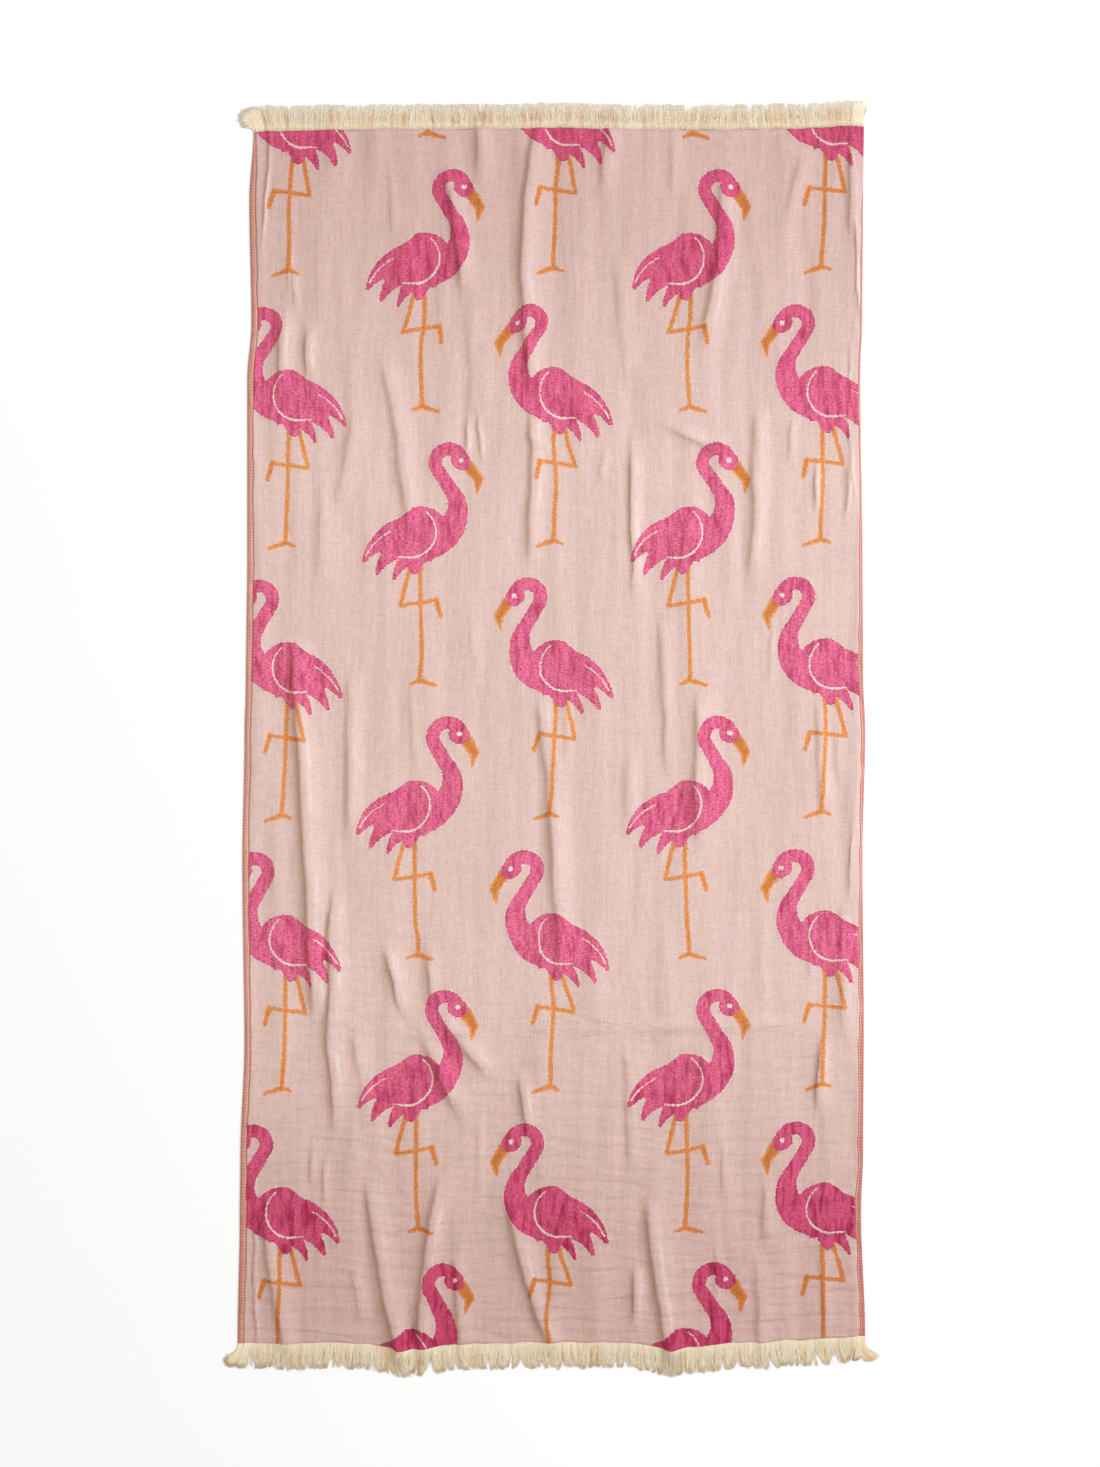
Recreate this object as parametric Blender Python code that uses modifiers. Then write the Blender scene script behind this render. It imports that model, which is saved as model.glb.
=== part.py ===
"""Hammam towel: a fringed double-gauze bath sheet lying flat, creased from washing.

The towel lies on the plane z = 0, with its length along Y, its width along X and
its face looking up along +Z. The origin is under the middle of the whole towel.
Lengths are in metres.
"""

import math
from collections import namedtuple

import bmesh
import bpy
import numpy as np

COLLECTION = "hammam_towel"

# ---- the cloth, one woven piece with its side hems
CLOTH_LENGTH = 1.760
CLOTH_WIDTH = 0.890
CLOTH_THICKNESS = 0.0015
CLOTH_COLUMNS = 72
CLOTH_ROWS = 40

# How far the long edges stand outside the straight nominal edge, at a height y.
SideRow = namedtuple("SideRow", "y left right")
SIDES = (
    SideRow(-0.88, 0.006, 0.012),
    SideRow(-0.70, 0.003, 0.006),
    SideRow(-0.61, 0.002, 0.009),
    SideRow(-0.44, -0.004, 0.010),
    SideRow(-0.18, -0.001, 0.008),
    SideRow(0.00, -0.004, 0.012),
    SideRow(0.08, -0.006, 0.009),
    SideRow(0.26, -0.008, 0.008),
    SideRow(0.52, -0.008, 0.005),
    SideRow(0.60, -0.014, 0.008),
    SideRow(0.78, -0.011, 0.009),
    SideRow(0.88, -0.017, 0.010),
)

# How far the two ends stand outside the straight nominal end, at a place x.
EndRow = namedtuple("EndRow", "x top bottom")
ENDS = (
    EndRow(-0.445, -0.002, -0.003),
    EndRow(-0.300, 0.000, -0.005),
    EndRow(-0.200, 0.001, 0.004),
    EndRow(-0.100, 0.001, -0.003),
    EndRow(0.000, 0.003, -0.005),
    EndRow(0.100, 0.001, -0.005),
    EndRow(0.175, 0.000, 0.003),
    EndRow(0.300, 0.001, -0.006),
    EndRow(0.445, 0.005, -0.013),
)

# ---- the folds: low ridges with one steep flank and one long flank
# A fold runs from (x0, y0) to (x1, y1). Its middle bows out by bow, towards +X on a fold
# that runs down the cloth. Its steep flank is on the other side.
Fold = namedtuple("Fold", "name x0 y0 x1 y1 bow width rise")
FOLDS = (
    Fold("top_centre", -0.015, 0.910, -0.021, 0.470, -0.020, 0.046, 0.0090),
    Fold("top_centre_end", -0.021, 0.500, -0.030, 0.235, 0.000, 0.042, 0.0080),
    Fold("top_left", -0.102, 0.930, -0.100, 0.790, 0.000, 0.040, 0.0050),
    Fold("top_left_inner", -0.148, 0.845, -0.118, 0.620, -0.004, 0.040, 0.0065),
    Fold("upper_left_soft", -0.119, 0.650, -0.106, 0.440, 0.000, 0.048, 0.0035),
    Fold("top_middle", 0.090, 0.910, 0.075, 0.770, 0.000, 0.038, 0.0060),
    Fold("top_right_inner", 0.371, 0.865, 0.342, 0.735, 0.000, 0.036, 0.0050),
    Fold("top_right_edge", 0.436, 0.910, 0.438, 0.700, 0.000, 0.030, 0.0045),
    Fold("upper_right", 0.253, 0.825, 0.215, 0.545, 0.010, 0.046, 0.0070),
    Fold("upper_middle_soft", 0.096, 0.720, 0.117, 0.480, 0.000, 0.046, 0.0030),
    Fold("left_edge_tuck", -0.386, 0.635, -0.391, 0.485, 0.000, 0.034, 0.0060),
    Fold("left_inner_tuck", -0.354, 0.610, -0.349, 0.500, 0.000, 0.032, 0.0060),
    Fold("shoulder", -0.251, 0.575, -0.203, 0.275, 0.009, 0.044, 0.0050),
    Fold("left_upper_soft", -0.279, 0.495, -0.306, 0.310, 0.000, 0.050, 0.0040),
    Fold("left_middle_soft", -0.325, 0.385, -0.332, 0.205, 0.000, 0.044, 0.0030),
    Fold("right_diagonal", 0.150, 0.462, 0.270, 0.402, 0.000, 0.036, 0.0045),
    Fold("middle_tuck", 0.121, 0.450, 0.124, 0.185, 0.000, 0.036, 0.0070),
    Fold("right_middle", 0.299, 0.500, 0.290, 0.205, 0.003, 0.038, 0.0050),
    Fold("left_long", -0.370, 0.150, -0.339, -0.420, 0.000, 0.050, 0.0100),
    Fold("left_second", -0.312, -0.210, -0.309, -0.590, -0.006, 0.044, 0.0080),
    Fold("left_third", -0.290, 0.120, -0.289, -0.170, 0.000, 0.040, 0.0050),
    Fold("middle_thin", 0.159, 0.200, 0.173, -0.070, 0.000, 0.034, 0.0035),
    Fold("centre_low", -0.017, 0.080, 0.018, -0.370, 0.006, 0.046, 0.0070),
    Fold("middle_soft", 0.115, 0.000, 0.115, -0.150, 0.000, 0.046, 0.0030),
    Fold("right_centre", 0.217, 0.085, 0.212, -0.180, 0.000, 0.042, 0.0060),
    Fold("right_outer", 0.386, 0.075, 0.395, -0.140, 0.000, 0.034, 0.0040),
    Fold("right_hem_soft", 0.426, -0.220, 0.426, -0.460, 0.000, 0.036, 0.0040),
    Fold("wing_tuck", -0.240, -0.290, -0.210, -0.410, 0.000, 0.036, 0.0070),
    Fold("breast_tuck", -0.178, -0.290, -0.167, -0.405, 0.000, 0.032, 0.0050),
    Fold("diagonal_upper", -0.168, -0.390, -0.074, -0.505, 0.000, 0.044, 0.0070),
    Fold("diagonal_lower", -0.196, -0.400, -0.120, -0.570, 0.000, 0.044, 0.0070),
    Fold("lower_left_soft", -0.282, -0.395, -0.262, -0.585, 0.000, 0.040, 0.0040),
    Fold("lower_centre_tuck", -0.046, -0.475, -0.026, -0.590, 0.000, 0.036, 0.0060),
    Fold("right_cross_soft", 0.090, -0.424, 0.385, -0.414, 0.000, 0.040, 0.0030),
    Fold("right_low_tuck", 0.395, -0.410, 0.386, -0.565, 0.000, 0.034, 0.0060),
    Fold("lower_middle_soft", 0.111, -0.410, 0.118, -0.655, 0.000, 0.042, 0.0040),
    Fold("bottom_left_edge", -0.417, -0.660, -0.378, -0.920, 0.000, 0.038, 0.0060),
    Fold("bottom_left_soft", -0.286, -0.755, -0.268, -0.860, 0.000, 0.036, 0.0040),
    Fold("bottom_left_hem", -0.263, -0.620, -0.200, -0.940, -0.012, 0.046, 0.0090),
    Fold("bottom_inner_hem", -0.150, -0.610, -0.188, -0.920, -0.011, 0.044, 0.0080),
    Fold("bottom_short", -0.138, -0.720, -0.124, -0.910, 0.000, 0.036, 0.0050),
    Fold("bottom_centre", -0.064, -0.635, 0.012, -0.905, -0.012, 0.044, 0.0080),
    Fold("bottom_right_hem", 0.143, -0.650, 0.193, -0.940, -0.011, 0.048, 0.0090),
    Fold("bottom_right_short", 0.124, -0.750, 0.122, -0.865, 0.000, 0.034, 0.0070),
    Fold("bottom_right", 0.300, -0.730, 0.305, -0.920, 0.000, 0.042, 0.0060),
    Fold("lower_right", 0.311, -0.620, 0.312, -0.750, 0.000, 0.038, 0.0050),
)
STEEP_SHARE = 0.36  # the steep flank's part of a fold's width
FADE_LENGTH = 0.070  # a fold rises from flat to its full height over this length
FADE_SHARE = 0.40  # or over this part of a short fold
RIDGE_BLEND = 3.0  # how firmly the higher of two crossing ridges wins

# ---- the fringes: locks of warp yarn on a narrow strip of cloth
PIECE_GAP = 0.0003
STRIP_WIDTH = 0.0040
CELLS_PER_COLUMN = 3  # every other cell of the strip carries a lock
LOCK_MIDDLE_SHARE = 0.45
LOCK_MIDDLE_WIDTH = 0.0056
LOCK_TIP_WIDTH = 0.0026
LOCK_MIDDLE_THICKNESS = 0.0016
LOCK_TIP_THICKNESS = 0.0009
LOCK_MIDDLE_SAG = 0.35  # a lock's middle keeps this part of its root's height
FLARE_REACH = 0.022  # how far in from a corner its splayed locks reach

# end is +1 for the end at +Y and -1 for the other. The locks at the left and right
# corners splay by flare_left and flare_right, and the others lean together in clumps.
Fringe = namedtuple("Fringe", "name end length uneven flare_left flare_right lean clump_pitch")
FRINGES = (
    Fringe("fringe_top", 1, 0.0295, 0.0014, 0.0170, 0.0030, 0.0012, 0.050),
    Fringe("fringe_bottom", -1, 0.0325, 0.0026, 0.0140, 0.0110, 0.0026, 0.061),
)
UNEVEN_PITCH = 0.137  # long wave in the lock lengths
UNEVEN_RIPPLE = 2.7  # the short wave is this many times quicker

# ---- colours (linear) and finish
Finish = namedtuple("Finish", "name colour roughness")
CLOTH_FINISH = Finish("double_gauze_cotton", (0.77, 0.56, 0.50, 1.0), 0.92)
FRINGE_FINISH = Finish("brushed_cotton_yarn", (0.82, 0.69, 0.46, 1.0), 0.95)


def eased(at, places, values):
    """Values read between table rows along an S-shaped ramp, so that no row leaves a corner."""
    at = np.clip(at, places[0], places[-1])
    row = np.clip(np.searchsorted(places, at, side="right") - 1, 0, len(places) - 2)
    places, values = np.asarray(places), np.asarray(values)
    share = (at - places[row]) / (places[row + 1] - places[row])
    ramp = share * share * (3 - 2 * share)
    return values[row] + (values[row + 1] - values[row]) * ramp


def spread(across, along):
    """The place in plan of a point of the cloth. across and along run from 0 to 1."""
    straight_x = (across - 0.5) * CLOTH_WIDTH
    straight_y = (along - 0.5) * CLOTH_LENGTH
    side_y = [row.y for row in SIDES]
    left = eased(straight_y, side_y, [row.left for row in SIDES])
    right = eased(straight_y, side_y, [row.right for row in SIDES])
    end_x = [row.x for row in ENDS]
    top = eased(straight_x, end_x, [row.top for row in ENDS])
    bottom = eased(straight_x, end_x, [row.bottom for row in ENDS])
    x = straight_x + right * across - left * (1 - across)
    y = straight_y + top * along - bottom * (1 - along)
    return x, y


def ridge_height(fold, x, y):
    """One fold's height: a bell across the ridge, squared cosines, times a fade at both ends."""
    length = math.hypot(fold.x1 - fold.x0, fold.y1 - fold.y0)
    run_x = (fold.x1 - fold.x0) / length
    run_y = (fold.y1 - fold.y0) / length
    along = (x - fold.x0) * run_x + (y - fold.y0) * run_y
    share = np.clip(along / length, 0, 1)
    off = (y - fold.y0) * run_x - (x - fold.x0) * run_y - fold.bow * 4 * share * (1 - share)
    steep = fold.width * STEEP_SHARE
    flank = np.where(off < 0, steep, fold.width - steep)
    across = np.cos(np.clip(np.abs(off) / flank, 0, 1) * math.pi / 2) ** 2
    fade = min(FADE_LENGTH, FADE_SHARE * length)
    inside = np.clip(np.minimum(along, length - along) / fade, 0, 1)
    return fold.rise * across * np.sin(inside * math.pi / 2) ** 2


def cloth_height(x, y):
    """The underside's height: the ridges joined so that the higher one wins softly."""
    total = sum(ridge_height(fold, x, y) ** RIDGE_BLEND for fold in FOLDS)
    return total ** (1 / RIDGE_BLEND)


def make_material(finish):
    material = bpy.data.materials.new(finish.name)
    material.use_nodes = True
    shader = material.node_tree.nodes["Principled BSDF"]
    shader.inputs["Base Color"].default_value = finish.colour
    shader.inputs["Roughness"].default_value = finish.roughness
    shader.inputs["Metallic"].default_value = 0.0
    return material


def make_object(name, bm, finish, collection):
    """Turns finished bmesh work into an object of the collection."""
    mesh = bpy.data.meshes.new(name)
    bm.to_mesh(mesh)
    bm.free()
    mesh.shade_smooth()
    mesh.materials.append(make_material(finish))
    made = bpy.data.objects.new(name, mesh)
    collection.objects.link(made)
    return made


def make_cloth(collection):
    """The cloth: a grid laid over the folds and thickened upwards."""
    bm = bmesh.new()
    bmesh.ops.create_grid(bm, x_segments=CLOTH_COLUMNS, y_segments=CLOTH_ROWS, size=0.5)
    for vert in bm.verts:
        x, y = spread(vert.co.x + 0.5, vert.co.y + 0.5)
        vert.co = (x, y, cloth_height(x, y))
    cloth = make_object("towel_cloth", bm, CLOTH_FINISH, collection)
    thicken = cloth.modifiers.new("thickness", "SOLIDIFY")
    thicken.thickness = CLOTH_THICKNESS
    thicken.offset = 1.0
    return cloth


def cloth_end(fringe, across):
    """A point of the cloth's sewn end as the grid has it, straight from column to column."""
    along = 1.0 if fringe.end > 0 else 0.0
    columns = np.linspace(0, 1, CLOTH_COLUMNS + 1)
    x, y = spread(columns, np.full_like(columns, along))
    z = cloth_height(x, y)
    return (
        float(np.interp(across, columns, x)),
        float(np.interp(across, columns, y)),
        float(np.interp(across, columns, z)),
    )


def lock_lean(fringe, x):
    """How far a lock's tip lies to the side: clumps, and a splay at each corner."""
    half = CLOTH_WIDTH / 2
    clump = fringe.lean * math.sin(2 * math.pi * x / fringe.clump_pitch)
    left = fringe.flare_left * math.exp(-(x + half) / FLARE_REACH)
    right = fringe.flare_right * math.exp((x - half) / FLARE_REACH)
    return clump - left + right


def lock_length(fringe, x):
    """A lock's length, a little longer and shorter along the fringe."""
    wave = 2 * math.pi * x / UNEVEN_PITCH
    ripple = math.sin(UNEVEN_RIPPLE * wave + fringe.end)
    return fringe.length + fringe.uneven * (0.5 * math.sin(wave) + 0.5 * ripple)


def fringe_point(fringe, station, row, layer, cells):
    """Where a counted point of the fringe lies.

    station counts the strip's cell borders, row is 0 and 1 at the strip's two edges, 2 at
    a lock's middle and 3 at its tip, and layer is 0 on the underside and 1 on top.
    """
    edge_x, edge_y, edge_z = cloth_end(fringe, station / cells)
    if row < 2:
        out = PIECE_GAP + STRIP_WIDTH * row
        return edge_x, edge_y + fringe.end * out, edge_z + CLOTH_THICKNESS * layer
    side = 1 if station % 2 else -1
    root_x, root_y, root_z = cloth_end(fringe, (station - side * 0.5) / cells)
    share = LOCK_MIDDLE_SHARE if row == 2 else 1.0
    width = LOCK_MIDDLE_WIDTH if row == 2 else LOCK_TIP_WIDTH
    thickness = LOCK_MIDDLE_THICKNESS if row == 2 else LOCK_TIP_THICKNESS
    lift = root_z * LOCK_MIDDLE_SAG if row == 2 else 0.0
    x = root_x + lock_lean(fringe, root_x) * share + side * width / 2
    out = PIECE_GAP + STRIP_WIDTH + lock_length(fringe, root_x) * share
    return x, root_y + fringe.end * out, lift + thickness * layer


def make_fringe(fringe, collection):
    """A strip of counted cells with a lock drawn out of every other one, then laid in place."""
    cells = CLOTH_COLUMNS * CELLS_PER_COLUMN
    bm = bmesh.new()
    bmesh.ops.create_grid(bm, x_segments=cells, y_segments=1, size=0.5)
    for vert in bm.verts:
        vert.co = (round((vert.co.x + 0.5) * cells), round(vert.co.y + 0.5), 0)
    raised = bmesh.ops.extrude_face_region(bm, geom=bm.faces[:])["geom"]
    top = [item for item in raised if isinstance(item, bmesh.types.BMVert)]
    bmesh.ops.translate(bm, verts=top, vec=(0, 0, 1))
    outer = [face for face in bm.faces if all(vert.co.y > 0.5 for vert in face.verts)]
    ends = [face for face in outer if int(face.calc_center_median().x) % 2 == 0]
    for _ in range(2):
        ends = bmesh.ops.extrude_discrete_faces(bm, faces=ends)["faces"]
        for face in ends:
            bmesh.ops.translate(bm, verts=face.verts[:], vec=(0, 1, 0))
    for vert in bm.verts:
        station, row, layer = (round(value) for value in vert.co)
        vert.co = fringe_point(fringe, station, row, layer, cells)
    bmesh.ops.recalc_face_normals(bm, faces=bm.faces[:])
    return make_object(fringe.name, bm, FRINGE_FINISH, collection)


def main():
    for old in list(bpy.data.objects):
        bpy.data.objects.remove(old)
    collection = bpy.data.collections.new(COLLECTION)
    bpy.context.scene.collection.children.link(collection)
    make_cloth(collection)
    for fringe in FRINGES:
        make_fringe(fringe, collection)


main()
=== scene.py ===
"""Looks of the hammam towel: double gauze with woven birds, creased from washing, fringed at both ends.

The towel lies on z = 0 with its length along Y. The cloth is one thin sheet with its hems, on the
folds of its solid, and each fringe is some thousands of yarns. Lengths are in metres, and the
woven figure is drawn in millimetres of flat cloth.
"""

import math
from collections import namedtuple

import bpy
import numpy as np
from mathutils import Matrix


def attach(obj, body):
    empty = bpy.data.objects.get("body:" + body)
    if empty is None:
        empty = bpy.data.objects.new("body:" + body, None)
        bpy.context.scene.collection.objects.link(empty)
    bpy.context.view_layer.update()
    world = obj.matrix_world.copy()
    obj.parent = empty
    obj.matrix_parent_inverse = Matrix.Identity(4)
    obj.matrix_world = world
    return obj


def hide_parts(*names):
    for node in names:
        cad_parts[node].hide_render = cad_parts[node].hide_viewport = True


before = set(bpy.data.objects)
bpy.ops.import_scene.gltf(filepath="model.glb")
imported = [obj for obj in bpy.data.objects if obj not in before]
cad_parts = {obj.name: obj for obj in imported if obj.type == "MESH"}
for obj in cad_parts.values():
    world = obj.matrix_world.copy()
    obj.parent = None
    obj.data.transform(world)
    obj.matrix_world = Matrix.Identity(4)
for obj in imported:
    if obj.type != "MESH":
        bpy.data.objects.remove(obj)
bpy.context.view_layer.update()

bl_info = {
    "name": "Hammam towel",
    "version": (1, 0, 0),
    "blender": (4, 5, 0),
    "location": "3D View > Sidebar > Towel",
    "description": "Lays a creased double-gauze towel with fringes on its packed solids",
    "category": "Object",
}

MM = 0.001

# ---- the cloth's outline: how far each long edge stands outside the straight one, at a height y
SideRow = namedtuple("SideRow", "y left right")
SIDES = (
    SideRow(-0.88, 0.006, 0.012),
    SideRow(-0.70, 0.003, 0.006),
    SideRow(-0.61, 0.002, 0.009),
    SideRow(-0.44, -0.004, 0.010),
    SideRow(-0.18, -0.001, 0.008),
    SideRow(0.00, -0.004, 0.012),
    SideRow(0.08, -0.006, 0.009),
    SideRow(0.26, -0.008, 0.008),
    SideRow(0.52, -0.008, 0.005),
    SideRow(0.60, -0.014, 0.008),
    SideRow(0.78, -0.011, 0.009),
    SideRow(0.88, -0.017, 0.010),
)

# How far the two ends stand outside the straight nominal end, at a place x.
EndRow = namedtuple("EndRow", "x top bottom")
ENDS = (
    EndRow(-0.445, -0.002, -0.003),
    EndRow(-0.300, 0.000, -0.005),
    EndRow(-0.200, 0.001, 0.004),
    EndRow(-0.100, 0.001, -0.003),
    EndRow(0.000, 0.003, -0.005),
    EndRow(0.100, 0.001, -0.005),
    EndRow(0.175, 0.000, 0.003),
    EndRow(0.300, 0.001, -0.006),
    EndRow(0.445, 0.005, -0.013),
)

# How wide the hem shows beside the face cloth, at a height y.
HemRow = namedtuple("HemRow", "y left right")
HEMS = (
    HemRow(-0.88, 0.0085, 0.0080),
    HemRow(-0.72, 0.0095, 0.0082),
    HemRow(-0.55, 0.0088, 0.0084),
    HemRow(-0.36, 0.0084, 0.0072),
    HemRow(-0.15, 0.0088, 0.0050),
    HemRow(0.05, 0.0084, 0.0076),
    HemRow(0.22, 0.0090, 0.0056),
    HemRow(0.40, 0.0084, 0.0036),
    HemRow(0.60, 0.0090, 0.0036),
    HemRow(0.74, 0.0096, 0.0030),
    HemRow(0.80, 0.0090, 0.0004),
    HemRow(0.88, 0.0036, 0.0000),
)

# ---- the folds: low ridges with one steep flank and one long flank
# A fold runs from (x0, y0) to (x1, y1). Its middle bows out by bow, towards +X on a fold
# that runs down the cloth. Its steep flank is on the other side. pinch is how firmly its foot is
# pressed shut. It sets how strongly a thin dark line of painted shade is drawn there, and how
# strong the painted highlight on its sunny flank is.
Fold = namedtuple("Fold", "name x0 y0 x1 y1 bow width rise pinch", defaults=(0.55,))
FOLDS = (
    Fold("top_centre", -0.015, 0.910, -0.021, 0.470, -0.020, 0.046, 0.0090, 0.7),
    Fold("top_centre_end", -0.021, 0.500, -0.030, 0.235, 0.000, 0.042, 0.0080),
    Fold("top_left", -0.102, 0.930, -0.100, 0.790, 0.000, 0.040, 0.0050),
    Fold("top_left_inner", -0.148, 0.845, -0.118, 0.620, -0.004, 0.040, 0.0065),
    Fold("upper_left_soft", -0.119, 0.650, -0.106, 0.440, 0.000, 0.048, 0.0035),
    Fold("top_middle", 0.090, 0.910, 0.075, 0.770, 0.000, 0.038, 0.0060),
    Fold("top_right_inner", 0.371, 0.865, 0.342, 0.735, 0.000, 0.036, 0.0050),
    Fold("top_right_edge", 0.436, 0.910, 0.438, 0.700, 0.000, 0.030, 0.0045),
    Fold("upper_right", 0.253, 0.825, 0.215, 0.545, 0.010, 0.046, 0.0070),
    Fold("upper_middle_soft", 0.096, 0.720, 0.117, 0.480, 0.000, 0.046, 0.0030),
    Fold("left_edge_tuck", -0.386, 0.635, -0.391, 0.485, 0.000, 0.034, 0.0060, 1.45),
    Fold("left_inner_tuck", -0.354, 0.610, -0.349, 0.500, 0.000, 0.032, 0.0060, 1.35),
    Fold("shoulder", -0.251, 0.575, -0.203, 0.275, 0.009, 0.044, 0.0050),
    Fold("left_upper_soft", -0.279, 0.495, -0.306, 0.310, 0.000, 0.050, 0.0040),
    Fold("left_middle_soft", -0.325, 0.385, -0.332, 0.205, 0.000, 0.044, 0.0030),
    Fold("right_diagonal", 0.150, 0.462, 0.270, 0.402, 0.000, 0.036, 0.0045),
    Fold("middle_tuck", 0.121, 0.450, 0.124, 0.185, 0.000, 0.036, 0.0070, 1.2),
    Fold("right_middle", 0.299, 0.500, 0.290, 0.205, 0.003, 0.038, 0.0050),
    Fold("left_long", -0.370, 0.150, -0.339, -0.420, 0.000, 0.050, 0.0100, 0.8),
    Fold("left_second", -0.312, -0.210, -0.309, -0.590, -0.006, 0.044, 0.0080, 1.15),
    Fold("left_third", -0.290, 0.120, -0.289, -0.170, 0.000, 0.040, 0.0050),
    Fold("middle_thin", 0.159, 0.200, 0.173, -0.070, 0.000, 0.034, 0.0035),
    Fold("centre_low", -0.017, 0.080, 0.018, -0.370, 0.006, 0.046, 0.0070),
    Fold("middle_soft", 0.115, 0.000, 0.115, -0.150, 0.000, 0.046, 0.0030),
    Fold("right_centre", 0.217, 0.085, 0.212, -0.180, 0.000, 0.042, 0.0060),
    Fold("right_outer", 0.386, 0.075, 0.395, -0.140, 0.000, 0.034, 0.0040),
    Fold("right_hem_soft", 0.426, -0.220, 0.426, -0.460, 0.000, 0.036, 0.0040),
    Fold("wing_tuck", -0.240, -0.290, -0.210, -0.410, 0.000, 0.036, 0.0070, 1.3),
    Fold("breast_tuck", -0.178, -0.290, -0.167, -0.405, 0.000, 0.032, 0.0050, 1.2),
    Fold("diagonal_upper", -0.168, -0.390, -0.074, -0.505, 0.000, 0.044, 0.0070),
    Fold("diagonal_lower", -0.196, -0.400, -0.120, -0.570, 0.000, 0.044, 0.0070),
    Fold("lower_left_soft", -0.282, -0.395, -0.262, -0.585, 0.000, 0.040, 0.0040),
    Fold("lower_centre_tuck", -0.046, -0.475, -0.026, -0.590, 0.000, 0.036, 0.0060, 1.0),
    Fold("right_cross_soft", 0.090, -0.424, 0.385, -0.414, 0.000, 0.040, 0.0030),
    Fold("right_low_tuck", 0.395, -0.410, 0.386, -0.565, 0.000, 0.034, 0.0060, 1.3),
    Fold("lower_middle_soft", 0.111, -0.410, 0.118, -0.655, 0.000, 0.042, 0.0040),
    Fold("bottom_left_edge", -0.417, -0.660, -0.378, -0.920, 0.000, 0.038, 0.0060),
    Fold("bottom_left_soft", -0.286, -0.755, -0.268, -0.860, 0.000, 0.036, 0.0040),
    Fold("bottom_left_hem", -0.263, -0.620, -0.200, -0.940, -0.012, 0.046, 0.0090, 0.8),
    Fold("bottom_inner_hem", -0.150, -0.610, -0.188, -0.920, -0.011, 0.044, 0.0080, 0.7),
    Fold("bottom_short", -0.138, -0.720, -0.124, -0.910, 0.000, 0.036, 0.0050),
    Fold("bottom_centre", -0.064, -0.635, 0.012, -0.905, -0.012, 0.044, 0.0080, 0.8),
    Fold("bottom_right_hem", 0.143, -0.650, 0.193, -0.940, -0.011, 0.048, 0.0090, 0.9),
    Fold("bottom_right_short", 0.124, -0.750, 0.122, -0.865, 0.000, 0.034, 0.0070, 1.3),
    Fold("bottom_right", 0.300, -0.730, 0.305, -0.920, 0.000, 0.042, 0.0060),
    Fold("lower_right", 0.311, -0.620, 0.312, -0.750, 0.000, 0.038, 0.0050),
)

# Finer creases and tucks, which the solids leave out.
CREASES = (
    Fold("hem_ridge_top_left", -0.407, 0.930, -0.416, 0.690, 0.003, 0.010, 0.0030, 1.2),
    Fold("pale_crease_left", -0.375, 0.720, -0.376, 0.635, 0.000, 0.016, 0.0016),
    Fold("tuck_upper_left", -0.370, 0.690, -0.365, 0.605, 0.000, 0.018, 0.0024, 1.0),
    Fold("tuck_beside_centre", -0.117, 0.480, -0.118, 0.390, 0.000, 0.018, 0.0028, 1.2),
    Fold("tuck_beside_centre_2", -0.104, 0.485, -0.095, 0.390, 0.000, 0.016, 0.0026, 1.1),
    Fold("right_edge_upper", 0.444, 0.780, 0.450, 0.580, -0.003, 0.011, 0.0026, 1.5),
    Fold("right_edge_line", 0.440, 0.600, 0.443, 0.315, -0.007, 0.011, 0.0016, 1.2),
    Fold("right_edge_low", 0.435, -0.105, 0.435, -0.250, 0.000, 0.011, 0.0018, 1.5),
    Fold("right_upper_short", 0.355, 0.480, 0.346, 0.385, 0.000, 0.022, 0.0032),
    Fold("right_upper_tuck", 0.387, 0.415, 0.382, 0.315, 0.000, 0.018, 0.0030, 1.2),
    Fold("right_hem_tuck", 0.432, 0.410, 0.421, 0.305, 0.004, 0.014, 0.0024, 1.4),
    Fold("middle_upper_short", 0.084, 0.430, 0.070, 0.362, 0.000, 0.024, 0.0022),
    Fold("right_thin", 0.319, 0.195, 0.319, 0.060, 0.000, 0.018, 0.0020),
    Fold("right_soft_short", 0.409, 0.035, 0.421, -0.085, 0.000, 0.024, 0.0022),
    Fold("centre_short", 0.025, 0.070, 0.026, -0.055, 0.000, 0.026, 0.0022),
    Fold("right_hairline", 0.225, -0.252, 0.322, -0.233, 0.000, 0.020, 0.0014),
    Fold("low_centre_soft", -0.102, -0.530, -0.102, -0.690, 0.000, 0.024, 0.0020),
    Fold("low_left_short", -0.344, -0.575, -0.344, -0.660, 0.000, 0.020, 0.0024, 1.0),
    Fold("low_left_short_2", -0.325, -0.600, -0.326, -0.690, 0.000, 0.020, 0.0024, 1.0),
    Fold("low_right_short", 0.253, -0.570, 0.252, -0.680, 0.000, 0.022, 0.0024),
    Fold("right_low_short", 0.376, -0.250, 0.380, -0.365, 0.000, 0.022, 0.0024, 1.0),
    Fold("left_hem_line", -0.432, 0.600, -0.434, 0.250, 0.004, 0.011, 0.0012, 0.9),
    Fold("left_hem_line_low", -0.438, -0.050, -0.441, -0.420, -0.004, 0.011, 0.0013),
    Fold("left_hem_line_end", -0.430, -0.600, -0.426, -0.905, 0.003, 0.011, 0.0020, 1.3),
    Fold("bottom_right_line", 0.235, -0.700, 0.241, -0.900, 0.004, 0.020, 0.0022),
    Fold("bottom_far_right", 0.398, -0.690, 0.404, -0.900, -0.004, 0.022, 0.0024),
    Fold("upper_left_line", -0.235, 0.860, -0.228, 0.700, 0.003, 0.024, 0.0018),
    Fold("upper_mid_line", 0.180, 0.890, 0.176, 0.760, 0.000, 0.024, 0.0018),
    Fold("middle_left_line", -0.205, 0.110, -0.196, -0.080, 0.004, 0.026, 0.0020),
    Fold("middle_line", -0.110, 0.200, -0.104, 0.060, -0.003, 0.024, 0.0018),
)
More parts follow.
